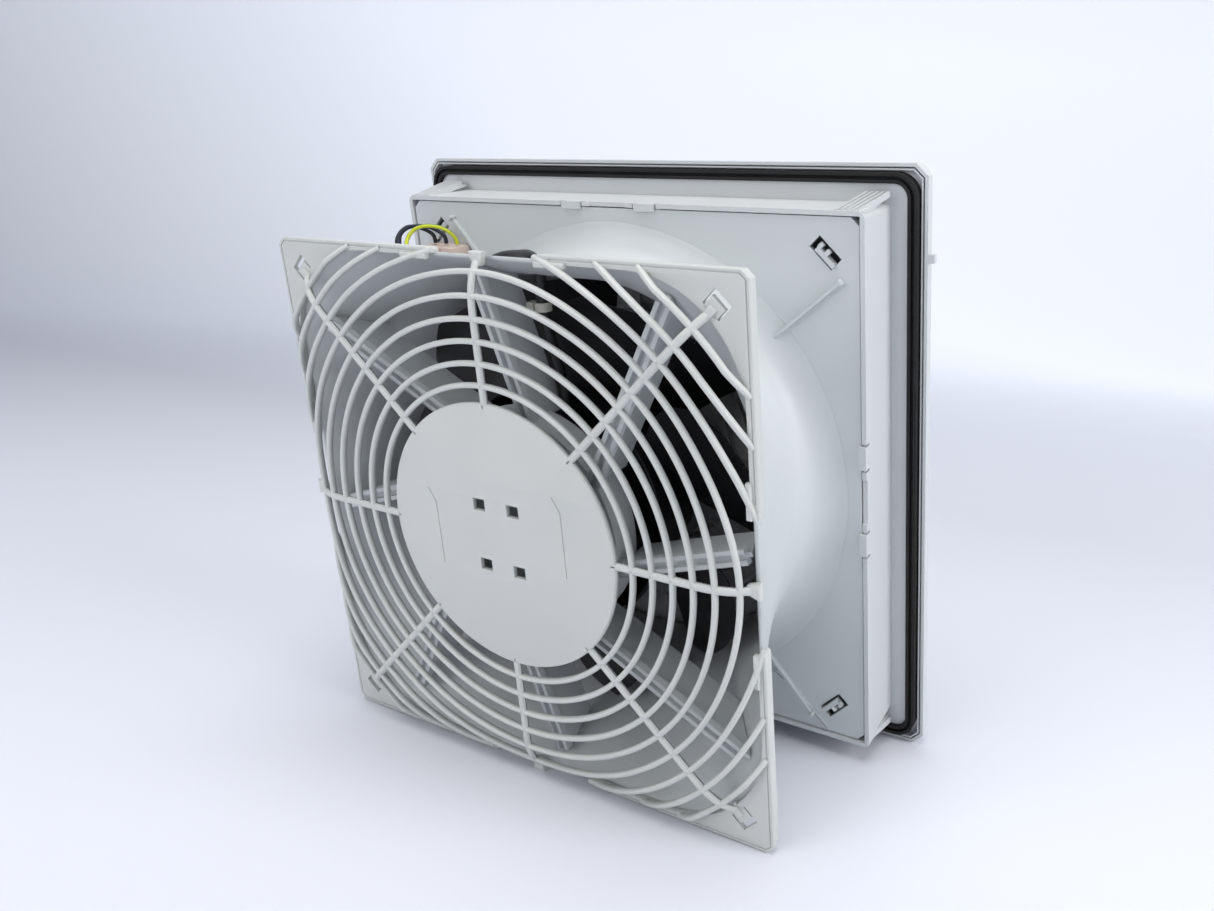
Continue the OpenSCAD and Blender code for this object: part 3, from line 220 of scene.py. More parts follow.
@dataclass(frozen=True)
class Finish:
    """A surface finish: shared fields, and the tree that most finishes use."""

    name: str
    colour: str
    shade: str
    roughness: float
    ior: float = 1.5
    metallic: float = 0.0
    grain_mm: float = 1.0
    grain_depth_mm: float = 0.02
    cloud_mm: float = 45.0
    gloss_cloud_share: float = 1 / 2.6
    edge_mm: float = 0.4
    spread: float = 0.06

    def material(self) -> Material:
        """Build the material, or return it when it exists.

        Returns:
            The material under the finish's name.
        """
        found = bpy.data.materials.get(self.name)
        if found:
            return found
        material = bpy.data.materials.new(self.name)
        tree = blank_tree(material)
        place = add_node(tree, "ShaderNodeTexCoord").outputs["Object"]
        inputs = {
            "Base Color": self.tint(tree, place),
            "Roughness": self.gloss(tree, place),
            "IOR": self.ior,
            "Metallic": self.metallic,
            "Normal": self.relief(tree, place),
        }
        shader = feed(tree, "ShaderNodeBsdfPrincipled", inputs)
        add_node(tree, "ShaderNodeOutputMaterial", {"Surface": shader})
        material.diffuse_color = linear(self.colour)
        return material

    def tint(self, tree: NodeTree, place: NodeSocket) -> NodeSocket:
        """Soft clouds between the colour and its shade, as flow and cooling leave in a moulding."""
        cloud = noise_field(tree, place, self.cloud_mm, Detail=3.0, Roughness=0.45)
        return mixed(tree, cloud, self.colour, self.shade)

    def gloss(self, tree: NodeTree, place: NodeSocket) -> NodeSocket:
        """Make the roughness vary a little over the surface.

        Args:
            tree: Tree of the material.
            place: Place on the surface.

        Returns:
            The roughness.
        """
        cloud = noise_field(tree, place, self.cloud_mm * self.gloss_cloud_share, Detail=4.0)
        low, high = self.roughness - self.spread, self.roughness + self.spread
        return ramp(tree, cloud, *NOISE_RANGE, low, high)

    def bumped(
        self, tree: NodeTree, height: NodeSocket, inputs: Inputs | None = None, **settings: object
    ) -> NodeSocket:
        """Normal from a height, with the finish's own depth of grain."""
        given = {"Height": height, "Distance": self.grain_depth_mm * MM, **(inputs or {})}
        return feed(tree, "ShaderNodeBump", given, **settings)

    def relief(self, tree: NodeTree, place: NodeSocket) -> NodeSocket:
        """Lay a fine grain over edges that are broken by a small radius.

        Args:
            tree: Tree of the material.
            place: Place on the surface.

        Returns:
            The normal.
        """
        grain = noise_field(tree, place, self.grain_mm, Detail=2.0, Roughness=0.6)
        edge = feed(tree, "ShaderNodeBevel", {"Radius": self.edge_mm * MM}, samples=4)
        return self.bumped(tree, grain, {"Normal": edge})


@dataclass(frozen=True)
class CellFoam(Finish):
    """Closed-cell foam: small cells that stay dull from every side."""

    cell_mm: float = 0.9

    def relief(self, tree: NodeTree, place: NodeSocket) -> NodeSocket:
        """Cell walls as a dented skin, drawn coarser than the real cells so that they show."""
        inputs = {"Vector": place, "Scale": 1 / (self.cell_mm * MM)}
        return self.bumped(tree, feed(tree, "ShaderNodeTexVoronoi", inputs), invert=True)


@dataclass(frozen=True)
class Fleece(Finish):
    """Lofted polyester fibres, pressed to a mat."""

    fibre_mm: float = 1.4

    def relief(self, tree: NodeTree, place: NodeSocket) -> NodeSocket:
        """Cross fibres from two stretched noises.

        Args:
            tree: Tree of the material.
            place: Place on the surface.

        Returns:
            The normal.
        """
        heights = []
        for stretch in ((1.0, 0.12, 0.4), (0.14, 1.0, 1.0)):
            along = feed(tree, "ShaderNodeMapping", {"Vector": place, "Scale": stretch})
            heights.append(noise_field(tree, along, self.fibre_mm, Detail=5.0, Distortion=1.2))
        return self.bumped(tree, calc(tree, "MAXIMUM", *heights))


@dataclass(frozen=True)
class Striped(Finish):
    """Extruded insulation with two colours that run along the lead."""

    stripe: str = "#3f7a35"
    stripes: float = 2.0
    base_share: float = 0.62

    def tint(self, tree: NodeTree, place: NodeSocket) -> NodeSocket:
        """Paint two stripes round the lead, read from its own map.

        Args:
            tree: Tree of the material.
            place: Place on the surface.

        Returns:
            The colour.
        """
        uv = feed(tree, "ShaderNodeUVMap", uv_map="along")
        around = add_node(tree, "ShaderNodeSeparateXYZ", {"Vector": uv}).outputs["Y"]
        part = calc(tree, "FRACT", calc(tree, "MULTIPLY", around, self.stripes))
        share = calc(tree, "GREATER_THAN", part, self.base_share)
        return mixed(tree, share, self.colour, self.stripe)


# Light grey ABS blend, injection moulded with a fine spark-eroded grain: soft broad highlights.
FRAME_ABS = Finish("abs_light_grey_frame", "#cfd2d3", "#c9cccd", 0.42)
CARRIER_ABS = Finish("abs_light_grey_carrier", "#cdd1d2", "#c6cacb", 0.40, grain_mm=1.4)
GUARD_ABS = Finish("abs_light_grey_guard", "#cbcdca", "#c4c7c4", 0.38, edge_mm=0.3)
DUCT_ABS = Finish("abs_light_grey_duct", "#cdd1d2", "#c6cacb", 0.40, grain_mm=1.4)
GRID_ABS = Finish("abs_light_grey_grid", "#c9cccb", "#c1c5c5", 0.42)
# Foamed rubber, cast in the groove: black, dull, with small dents.
GASKET_FOAM = CellFoam("foamed_rubber_black", "#161617", "#101011", 0.78, grain_depth_mm=0.25)
# Glass-filled polyamide, moulded black: faint flow lines and a satin gloss.
IMPELLER_PA = Finish(
    "glass_filled_polyamide_black", "#1c1d1f", "#141517", 0.46, grain_depth_mm=0.03
)
# Deep-drawn steel cup under a black electrophoretic coat.
CUP_COAT = Finish("black_coated_steel", "#232427", "#1a1b1d", 0.4, ior=1.6)
# Polyester fleece, thermally bonded: matt, fibrous, almost white.
MAT_FLEECE = Fleece("polyester_fleece", "#eceeed", "#dfe3e3", 0.92, grain_depth_mm=0.9, cloud_mm=18)
# Ground and hardened steel: shows fine turning marks.
SHAFT_STEEL = Finish("ground_steel", "#b9bcc0", "#a9adb1", 0.24, metallic=1.0, grain_mm=0.4)
BEARING_STEEL = Finish("polished_bearing_steel", "#c4c7ca", "#b6b9bd", 0.16, metallic=1.0)
# Punched electrical sheet, stacked: dull metal.
LAMINATION = Finish(
    "stamped_lamination_steel", "#7b7f84", "#65696e", 0.42, metallic=1.0, grain_mm=0.5
)
# Sintered hard ferrite: dark grey ceramic.
FERRITE = Finish("sintered_ferrite", "#4d4f53", "#414347", 0.62, grain_mm=0.6)
# Enamelled copper wire: warm metal under a clear varnish.
COPPER = Finish("enamelled_copper", "#b06a35", "#8f4f24", 0.3, metallic=1.0, grain_mm=0.8)
# Die-cast aluminium as it leaves the mould.
FLANGE_CAST = Finish("die_cast_aluminium", "#aeb2b5", "#9fa3a7", 0.45, metallic=1.0, grain_mm=0.9)
# Steel under a bright zinc plating.
ZINC = Finish("zinc_plated_steel", "#c3c6c9", "#aeb2b6", 0.3, metallic=1.0, grain_mm=0.7)
# Unfilled polyamide: pale, slightly warm, a little waxy.
TERMINAL_PA = Finish("polyamide_pale_terminal", "#dcc9bf", "#d2beb3", 0.45, grain_mm=1.0)
NYLON_TIE = Finish("nylon_natural", "#cfcdc2", "#c3c1b5", 0.4)
# Extruded PVC insulation: smooth, slightly waxy gloss.
PVC_BLACK = Finish("pvc_insulation_black", "#17181b", "#101114", 0.34, grain_mm=2.0)
PVC_DARK_BLUE = Finish("pvc_insulation_dark_blue", "#1b2238", "#131929", 0.34, grain_mm=2.0)
PVC_EARTH = Striped("pvc_insulation_green_yellow", "#c9cf2f", "#b9bf2a", 0.34, grain_mm=2.0)
SLEEVE_PVC = Finish("pvc_sleeve_black", "#18191b", "#111214", 0.4, grain_mm=1.2)


def close_group(tree: NodeTree, geometry: NodeSocket, finish: Finish) -> None:
    """End a group with real geometry that has a finish.

    Args:
        tree: Tree of the group.
        geometry: What the group has made.
        finish: Its finish.
    """
    real = feed(tree, "GeometryNodeRealizeInstances", {0: geometry})
    inputs = {"Geometry": real, "Material": finish.material()}
    add_node(tree, "NodeGroupOutput", {0: feed(tree, "GeometryNodeSetMaterial", inputs)})


# --- mesh helpers


def linked(name: str, data: ID) -> Object:
    """Add an object to the scene.

    Args:
        name: Name of the object.
        data: Its mesh, curve, light or camera.

    Returns:
        The object.
    """
    made = bpy.data.objects.new(name, data)
    bpy.context.scene.collection.objects.link(made)
    return made


def baked(source: Object) -> Mesh:
    """Take an object's mesh as its modifiers leave it.

    Args:
        source: The object.

    Returns:
        The mesh.
    """
    bpy.context.view_layer.update()
    seen = source.evaluated_get(bpy.context.evaluated_depsgraph_get())
    return bpy.data.meshes.new_from_object(seen)


def new_object(name: str, mesh: Mesh, finish: Finish) -> Object:
    """Add a mesh without materials to the scene as an object with one finish."""
    mesh.materials.append(finish.material())
    return linked(name, mesh)


def smooth_by_angle(mesh: Mesh, degrees: float = 32.0) -> None:
    """Shade the mesh smooth, with sharp edges where two faces meet at more than an angle.

    Args:
        mesh: Mesh to shade.
        degrees: The angle.
    """
    limit = math.radians(degrees)
    work = bmesh.new()
    work.from_mesh(mesh)
    for face in work.faces:
        face.smooth = True
    for edge in work.edges:
        edge.smooth = len(edge.link_faces) == 2 and edge.calc_face_angle(0.0) <= limit
    work.to_mesh(mesh)
    work.free()


def finished_mesh(name: str, work: bmesh.types.BMesh, degrees: float | None) -> Mesh:
    """Turn a finished bmesh into a mesh with its faces outward.

    Args:
        name: Name of the mesh.
        work: The bmesh, freed afterwards.
        degrees: Angle for smooth_by_angle, or None to keep the shading.

    Returns:
        The mesh.
    """
    bmesh.ops.recalc_face_normals(work, faces=work.faces)
    mesh = bpy.data.meshes.new(name)
    work.to_mesh(mesh)
    work.free()
    if degrees is not None:
        smooth_by_angle(mesh, degrees)
    return mesh


def closed_skin(name: str, rings: Rings, degrees: float) -> Mesh:
    """Join rings of points, each to the next and the last to the first.

    Args:
        name: Name of the mesh.
        rings: Closed rings of the same number of points.
        degrees: Angle above which an edge stays sharp.

    Returns:
        The mesh.
    """
    work = bmesh.new()
    verts = [[work.verts.new(point) for point in ring] for ring in rings]
    for a, b in zip(verts, verts[1:] + verts[:1]):
        for i in range(len(a)):
            n = (i + 1) % len(a)
            work.faces.new((a[i], a[n], b[n], b[i]))
    return finished_mesh(name, work, degrees)


def settle(
    piece: Object, slot: str, *nodes: str, body: Body = Body.HOUSING, turned: bool = True
) -> Object:
    """Turn a finished piece into a plain mesh in the row frame, and tie it to the model.

    Args:
        piece: Mesh object in fan space, with or without modifiers.
        slot: Material slot of the record; not used.
        *nodes: CAD nodes that it stands for.
        body: Body that it rides on.
        turned: Whether the mesh is still in fan space.

    Returns:
        The object, at the origin, without modifiers.
    """
    mesh = baked(piece)
    piece.modifiers.clear()
    piece.data = mesh
    if turned:
        mesh.transform(FAN_TO_ROW)
    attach(piece, body.value)
    if nodes:
        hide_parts(*nodes)
    log.info("%s: %d faces on %s", piece.name, len(mesh.polygons), body.value)
    return piece


def arc(centre: tuple[float, float], radius: float, start: float, stop: float, steps: int) -> Loop:
    """Points along an arc, in degrees, both ends included."""
    turns = [math.radians(start + (stop - start) * i / steps) for i in range(steps + 1)]
    return [(centre[0] + radius * math.cos(t), centre[1] + radius * math.sin(t)) for t in turns]


def circle(radius: float, points: int = 144) -> Loop:
    """Points of a circle about the fan axis."""
    return arc((0, 0), radius, 0, 360 - 360 / points, points - 1)


def rotated(loop: Loop, degrees: float) -> Loop:
    """A loop turned about the fan axis."""
    c, s = math.cos(math.radians(degrees)), math.sin(math.radians(degrees))
    return [(x * c - y * s, x * s + y * c) for x, y in loop]


def rectangle(x0: float, y0: float, x1: float, y1: float) -> Loop:
    """The four corners of a rectangle."""
    return [(x0, y0), (x1, y0), (x1, y1), (x0, y1)]


def plate(
    name: str, loops: Sequence[Loop], low: float, high: float, edge: float, finish: Finish
) -> Object:
    """A flat plate with holes and rounded edges, from filled outlines.

    Args:
        name: Name of the piece.
        loops: Outer outline and holes.
        low: Depth of the lower face.
        high: Depth of the upper face.
        edge: Radius of the broken edges.
        finish: Finish of the plate.

    Returns:
        A mesh object in fan space.
    """
    curve = bpy.data.curves.new(name, "CURVE")
    curve.dimensions = "2D"
    curve.fill_mode = "BOTH"
    curve.extrude = (high - low) / 2 - edge
    curve.bevel_depth = edge
    curve.bevel_resolution = 2
    curve.offset = -edge
    for loop in loops:
        spline = curve.splines.new("POLY")
        spline.points.add(len(loop) - 1)
        for point, (x, y) in zip(spline.points, loop):
            point.co = (x, y, 0.0, 1.0)
        spline.use_cyclic_u = True
    made = linked(name, curve)
    mesh = baked(made)
    bpy.data.objects.remove(made)
    mesh.transform(Matrix.Translation((0, 0, (low + high) / 2)))
    work = bmesh.new()
    work.from_mesh(mesh)
    bmesh.ops.remove_doubles(work, verts=work.verts, dist=PLATE_WELD)
    return new_object(name, finished_mesh(name, work, 40), finish)


def four_plates(layers: Sequence[Layer], finish: Finish, first: float = 0.0) -> list[Object]:
    """Make plates, four of each round the fan axis.

    Args:
        layers: Name, outlines, lower face, upper face and edge radius of each plate.
        finish: Finish of the plates.
        first: Angle of the first of the four.

    Returns:
        The plates.
    """
    return [
        plate(f"{name}_{k}", [rotated(loop, 90 * k + first) for loop in loops], *sizes, finish)
        for k in range(4)
        for name, loops, *sizes in layers
    ]


def join(name: str, parts: Sequence[Object]) -> Object:
    """Join mesh objects of one finish into one piece.

    Args:
        name: Name of the piece.
        parts: The objects, which are removed.

    Returns:
        The piece.
    """
    work = bmesh.new()
    for part in parts:
        work.from_mesh(part.data)
    mesh = parts[0].data.copy()
    mesh.name = name
    work.to_mesh(mesh)
    work.free()
    for part in parts:
        bpy.data.objects.remove(part)
    return linked(name, mesh)


# --- dressed CAD nodes


@dataclass
class Dressing:
    """A CAD node that keeps its shape: a merged copy with a finish."""

    node: str
    slot: str
    finish: Finish
    body: Body = Body.HOUSING

    def build(self) -> None:
        """Copy the node's mesh, merge it and put it in the node's place."""
        nodes = {o["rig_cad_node"]: o for o in bpy.data.objects if "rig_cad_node" in o}
        mesh = nodes[self.node].data.copy()
        mesh.name = self.node
        mesh.materials.clear()
        work = bmesh.new()
        work.from_mesh(mesh)
        bmesh.ops.remove_doubles(work, verts=work.verts, dist=CAD_WELD)
        work.to_mesh(mesh)
        work.free()
        smooth_by_angle(mesh)
        piece = new_object(f"{self.node}_dressed", mesh, self.finish)
        settle(piece, self.slot, self.node, body=self.body, turned=False)


# --- guard


@dataclass
class FanGuard:
    """Domed ring guard: ring field, spokes, middle disc, four corner plates and snap tongues."""

    plate_z: float = 121.5
    plate_t: float = 2.4
    half: float = 133.0
    corner_cut: float = 3.4
    open_half: float = 129.0
    open_r: float = 53.0
    corner_from: float = 30.0
    skirt: float = 6.0
    skirt_inset: float = 0.55
    skirt_wall: float = 0.9
    groove_at: float = 1.3
    groove_w: float = 0.5
    groove_deep: float = 0.4
    dome: float = 9.0
    bend: float = 22.0
    dive: float = 2.6
    bend_shares: Shares = ((0, 0), (0.12, 0.34), (0.24, 0.56), (0.44, 0.8), (0.72, 0.95), (1, 1))
    disc_r: float = 66.0
    ring_first: float = 73.9
    ring_pitch: float = 10.15
    rings: int = 9
    tab_ring: int = 6
    ring_points: int = 512
    spoke_points: int = 96
    bar_w: float = 2.6
    bar_t: float = 3.0
    bar_round: float = 0.42
    spokes: int = 8
    spoke_w: float = 3.8
    foot_w: float = 8.0
    foot_t: float = 3.8
    foot_edge: float = 0.8
    tab_edge: float = 0.5
    mark_x: float = 38.0
    mark_long: float = 32.0
    mark_w: float = 0.7
    mark_deep: float = 0.3
    mark_slant: float = 30.0
    disc_edge: float = 0.45
    skin_edge: float = 0.1
    skin_inset: float = 0.15
    window: tuple[float, float] = (7.0, 6.0)
    window_at: tuple[float, float] = (10.1, 15.4)
    snap_w: float = 9.8
    snap_len: float = 8.6
    snap_far: float = 172.0
    tongue_gap: float = 0.9
    tongue_back: float = 0.6
    tongue_share: float = 0.62
    tongue_edge: float = 0.3
    root_back: float = 4.2
    root_share: float = 0.3
    root_sunk: float = 1.0
    root_proud: float = 1.5
    root_edge: float = 0.7
    corner_edge: float = 0.35
    skirt_edge: float = 0.2

    @property
    def top(self) -> float:
        """Depth of the highest point of the guard."""
        return self.plate_z + self.dome

    @property
    def diagonal(self) -> float:
        """Radius of the opening's corners on the diagonal."""
        return math.sqrt(2) * (self.open_half - self.open_r) + self.open_r

    def height_group(self) -> NodeTree:
        """Node group that sets points on the pillow surface and trims what lies outside it.

        Returns:
            The group, which takes and gives geometry.
        """
        sizes = {
            "Half width": self.open_half + self.dive,
            "Corner reach": self.diagonal + self.dive,
            "Dome height": self.dome,
            "Bend width": self.bend + self.dive,
            "Centre depth": self.plate_z - self.bar_t / 2,
        }
        tree, given = new_group("pillow_surface", sizes)
        spot = feed(tree, "GeometryNodeInputPosition")
        x, y, _ = add_node(tree, "ShaderNodeSeparateXYZ", {0: spot}).outputs
        flat = feed(tree, "ShaderNodeCombineXYZ", {0: x, 1: y})
        reach = add_node(tree, "ShaderNodeVectorMath", {0: flat}, operation="LENGTH")
        room = [calc(tree, "SUBTRACT", given["Corner reach"], reach.outputs["Value"])]
        for side in (x, y):
            away = calc(tree, "ABSOLUTE", side)
            room.append(calc(tree, "SUBTRACT", given["Half width"], away))
        least = calc(tree, "MINIMUM", calc(tree, "MINIMUM", room[1], room[2]), room[0])
        share = calc(tree, "DIVIDE", least, given["Bend width"])
        profile = add_node(tree, "ShaderNodeFloatCurve", {1: share})
        curve = profile.mapping.curves[0]
        curve.points[0].location = self.bend_shares[0]
        curve.points[1].location = self.bend_shares[-1]
        for at in self.bend_shares[1:-1]:
            curve.points.new(*at)
        profile.mapping.update()
        bent = profile.outputs[0]
        rise = calc(tree, "MULTIPLY_ADD", bent, given["Dome height"], given["Centre depth"])
        target = feed(tree, "ShaderNodeCombineXYZ", {0: x, 1: y, 2: rise})
        outside = add_node(tree, "FunctionNodeCompare", {0: least, 1: 0.0}, operation="LESS_THAN")
        inputs = {"Geometry": given["Geometry"], "Position": target}
        moved = feed(tree, "GeometryNodeSetPosition", inputs)
        inputs = {"Geometry": moved, "Selection": outside.outputs[0]}
        trimmed = feed(tree, "GeometryNodeDeleteGeometry", inputs)
        add_node(tree, "NodeGroupOutput", {0: trimmed})
        return tree

    def bars(
        self,
        tree: NodeTree,
        surface: NodeTree,
        lines: NodeSocket,
        width: NodeSocket,
        height: NodeSocket,
    ) -> NodeSocket:
        """Lay lines on the pillow surface and sweep a rounded bar along them.

        Args:
            tree: Tree that gets the nodes.
            surface: Group that lays points on the surface.
            lines: Instances of flat lines.
            width: Width of the bar.
            height: Height of the bar.

        Returns:
            The bars.
        """
        real = feed(tree, "GeometryNodeRealizeInstances", {0: lines})
        laid = add_node(tree, "GeometryNodeGroup", {"Geometry": real}, node_tree=surface)
        path = feed(tree, "GeometryNodeMeshToCurve", {0: laid.outputs[0]})
        upright = feed(tree, "GeometryNodeSetCurveNormal", {"Curve": path}, mode="Z_UP")
        inputs = {"Width": width, "Height": height}
        section = feed(tree, "GeometryNodeCurvePrimitiveQuadrilateral", inputs)
        rounding = calc(tree, "MULTIPLY", width, self.bar_round)
        inputs = {"Curve": section, "Count": 3, "Radius": rounding}
        soft = feed(tree, "GeometryNodeFilletCurve", inputs, mode="POLY")
        inputs = {"Curve": upright, "Profile Curve": soft, "Fill Caps": True}
        return feed(tree, "GeometryNodeCurveToMesh", inputs)

    def field_group(self) -> NodeTree:
        """Node group that lays the rings and spokes and gives them a rounded section.

        Returns:
            The group, which gives geometry.
        """
        surface = self.height_group()
        sizes = {
            "First radius": self.ring_first,
            "Ring pitch": self.ring_pitch,
            "Rings": self.rings,
            "Spokes": self.spokes,
            "Spoke start": self.disc_r - self.plate_t,
            "Spoke end": self.diagonal + self.plate_t,
            "Ring width": self.bar_w,
            "Spoke width": self.spoke_w,
            "Bar height": self.bar_t,
        }
        tree, given = new_group("ring_field", sizes, geometry=False)
        index = feed(tree, "GeometryNodeInputIndex")
        radius = calc(tree, "MULTIPLY_ADD", index, given["Ring pitch"], given["First radius"])
        unit = {"Vertices": self.ring_points, "Radius": 1.0}
        inputs = {
            "Points": feed(tree, "GeometryNodePoints", {"Count": given["Rings"]}),
            "Instance": feed(tree, "GeometryNodeMeshCircle", unit),
            "Scale": radius,
        }
        ring_lines = feed(tree, "GeometryNodeInstanceOnPoints", inputs)
        start, end = (
            feed(tree, "ShaderNodeCombineXYZ", {0: given[label]})
            for label in ("Spoke start", "Spoke end")
        )
        inputs = {"Count": self.spoke_points, "Start Location": start, "Offset": end}
        line = feed(tree, "GeometryNodeMeshLine", inputs, mode="END_POINTS")
        spoke_lines = spun(tree, line, given["Spokes"])
        both = add_node(tree, "GeometryNodeJoinGeometry")
        for lines, width in ((ring_lines, "Ring width"), (spoke_lines, "Spoke width")):
            bars = self.bars(tree, surface, lines, given[width], given["Bar height"])
            tree.links.new(bars, both.inputs[0])
        smooth = feed(tree, "GeometryNodeSetShadeSmooth", {"Geometry": both.outputs[0]})
        close_group(tree, smooth, GUARD_ABS)
        return tree

    def disc(self) -> Object:
        """Middle disc with a soft rim, four square windows and a skin with two engraved marks.

        Returns:
            The disc as one piece.
        """
        holes = []
        w, h = self.window[0] / 2, self.window[1] / 2
        for sx in (-1, 1):
            for sy in (-1, 1):
                x, y = sx * self.window_at[0], sy * self.window_at[1]
                holes.append(rectangle(x - w, y - h, x + w, y + h))
        rim, thin = self.disc_edge, self.skin_edge
        base = [circle(self.disc_r), *holes]
        low, deck = self.top - self.plate_t, self.top - self.mark_deep
        skin = [circle(self.disc_r - rim), *holes]
        skin += [self.half_arrow(1), self.half_arrow(-1)]
        lower = plate("disc_base", base, low, deck, rim, GUARD_ABS)
        upper = plate("disc_skin", skin, deck - thin, self.top, thin, GUARD_ABS)
        return join("guard_disc", [lower, upper])

    def half_arrow(self, side: int) -> Loop:
        """Outline of the shallow line with half a head, on one side of the disc.

        Args:
            side: 1 for the right side and -1 for the left.

        Returns:
            The outline.
        """
        w, tall, head = self.mark_w, self.mark_long, self.mark_long / 4
        x, y = side * self.mark_x, side * self.mark_x / 9 - tall / 2
        slant = math.radians(self.mark_slant)
        lean, rise = head * math.sin(slant), head * math.cos(slant)
        tip = tall + rise
        shape = [(0, 0), (w, 0), (w, tall), (w - lean, tip), (-lean, tip), (0, tall)]
        return [(x + a, y + b) for a, b in shape]

    def corner_loop(self, inset: float) -> Loop:
        """Outline of the corner plate to the upper right, drawn in by a distance.

        Args:
            inset: The distance.

        Returns:
            The outline.
        """
        outer = self.half - inset
        inner = self.open_half + inset
        cut = self.corner_cut
        middle = (outer + inner) / 2
        end_r = (outer - inner) / 2
        low = self.corner_from + inset + end_r
        centre = (self.open_half - self.open_r,) * 2
        loop = arc((middle, low), end_r, 180, 360, 8)
        loop += [(outer, outer - cut), (outer - cut, outer)]
        loop += arc((low, middle), end_r, 90, 270, 8)
        loop += arc(centre, self.open_r + inset, 90, 0, 24)
        return loop

    def groove(self) -> Loop:
        """Outline of the shallow groove along the outer edges of a corner plate.

        Returns:
            The outline.
        """
        start, cut = self.corner_from + self.foot_w, self.corner_cut
        slope = math.sqrt(2) - 1
        side = []
        for inset in (self.groove_at, self.groove_at + self.groove_w):
            edge, bend = self.half - inset, self.half - cut - slope * inset
            side.append([(edge, start), (edge, bend), (bend, edge), (start, edge)])
        return side[0] + side[1][::-1]

    def corners(self) -> list[Object]:
        """The four corner plates, their skirts and the tongues in their windows.

        Returns:
            The plates.
        """
        low, high = self.plate_z - self.plate_t, self.plate_z
        deck, bottom = high - self.groove_deep, self.plate_z - self.skirt
        near, w = self.snap_far - self.snap_len, self.snap_w / 2
        t, r = w - self.tongue_gap, self.spoke_w / 2
        window = rotated(rectangle(near, -w, self.snap_far, w), 45)
        tongue_end = near + self.tongue_share * self.snap_len
        root_end = near + self.root_share * self.snap_len
        tongue = rotated(rectangle(near - self.tongue_back, -t, tongue_end, t), 45)
        root = rotated(rectangle(near - self.root_back, -r, root_end, r), 45)
        skirt = [self.corner_loop(self.skirt_inset + wall) for wall in (0.0, self.skirt_wall)]
        skin = [self.corner_loop(self.skin_inset), window, self.groove()]
        thin = self.skin_edge
        layers = (
            ("corner", [self.corner_loop(0), window], low, deck, self.corner_edge),
            ("corner_skin", skin, deck - thin, high, thin),
            ("skirt", skirt, bottom, low + self.skirt_edge, self.skirt_edge),
            ("tongue", [tongue], low, high, self.tongue_edge),
            ("root", [root], low + self.root_sunk, high + self.root_proud, self.root_edge),
        )
        return four_plates(layers, GUARD_ABS)

    def feet(self) -> list[Object]:
        """Feet of the straight spokes, and the flat ends of the seventh ring.

        Returns:
            The plates.
        """
        radius = self.ring_first + self.tab_ring * self.ring_pitch
        at = math.sqrt(radius * radius - self.open_half * self.open_half)
        t, w = self.plate_t / 2, self.foot_w
        low = self.plate_z - t
        near, thin, wide = self.open_half - self.plate_t, self.spoke_w / 2, w / 2
        foot = [(near, -thin), (self.half, -wide), (self.half, wide), (near, thin)]
        layers = [("foot", [foot], low, low + self.foot_t, self.foot_edge)]
        for y in (-at, at):
            tab = rectangle(self.open_half - t, y - w, self.open_half + t, y + w)
            layers.append(("tab", [tab], low, low + self.bar_t, self.tab_edge))
        return four_plates(layers, GUARD_ABS)

    def build(self) -> None:
        """Make the guard and put it in place of its CAD node."""
        rings = new_object("guard_rings", bpy.data.meshes.new("guard_rings"), GUARD_ABS)
        rings.modifiers.new("ring_field", "NODES").node_group = self.field_group()
        settle(rings, "guard_plastic", "fan_guard")
        plates = join("guard_plates", [self.disc(), *self.corners(), *self.feet()])
        settle(plates, "guard_plastic")


# --- duct


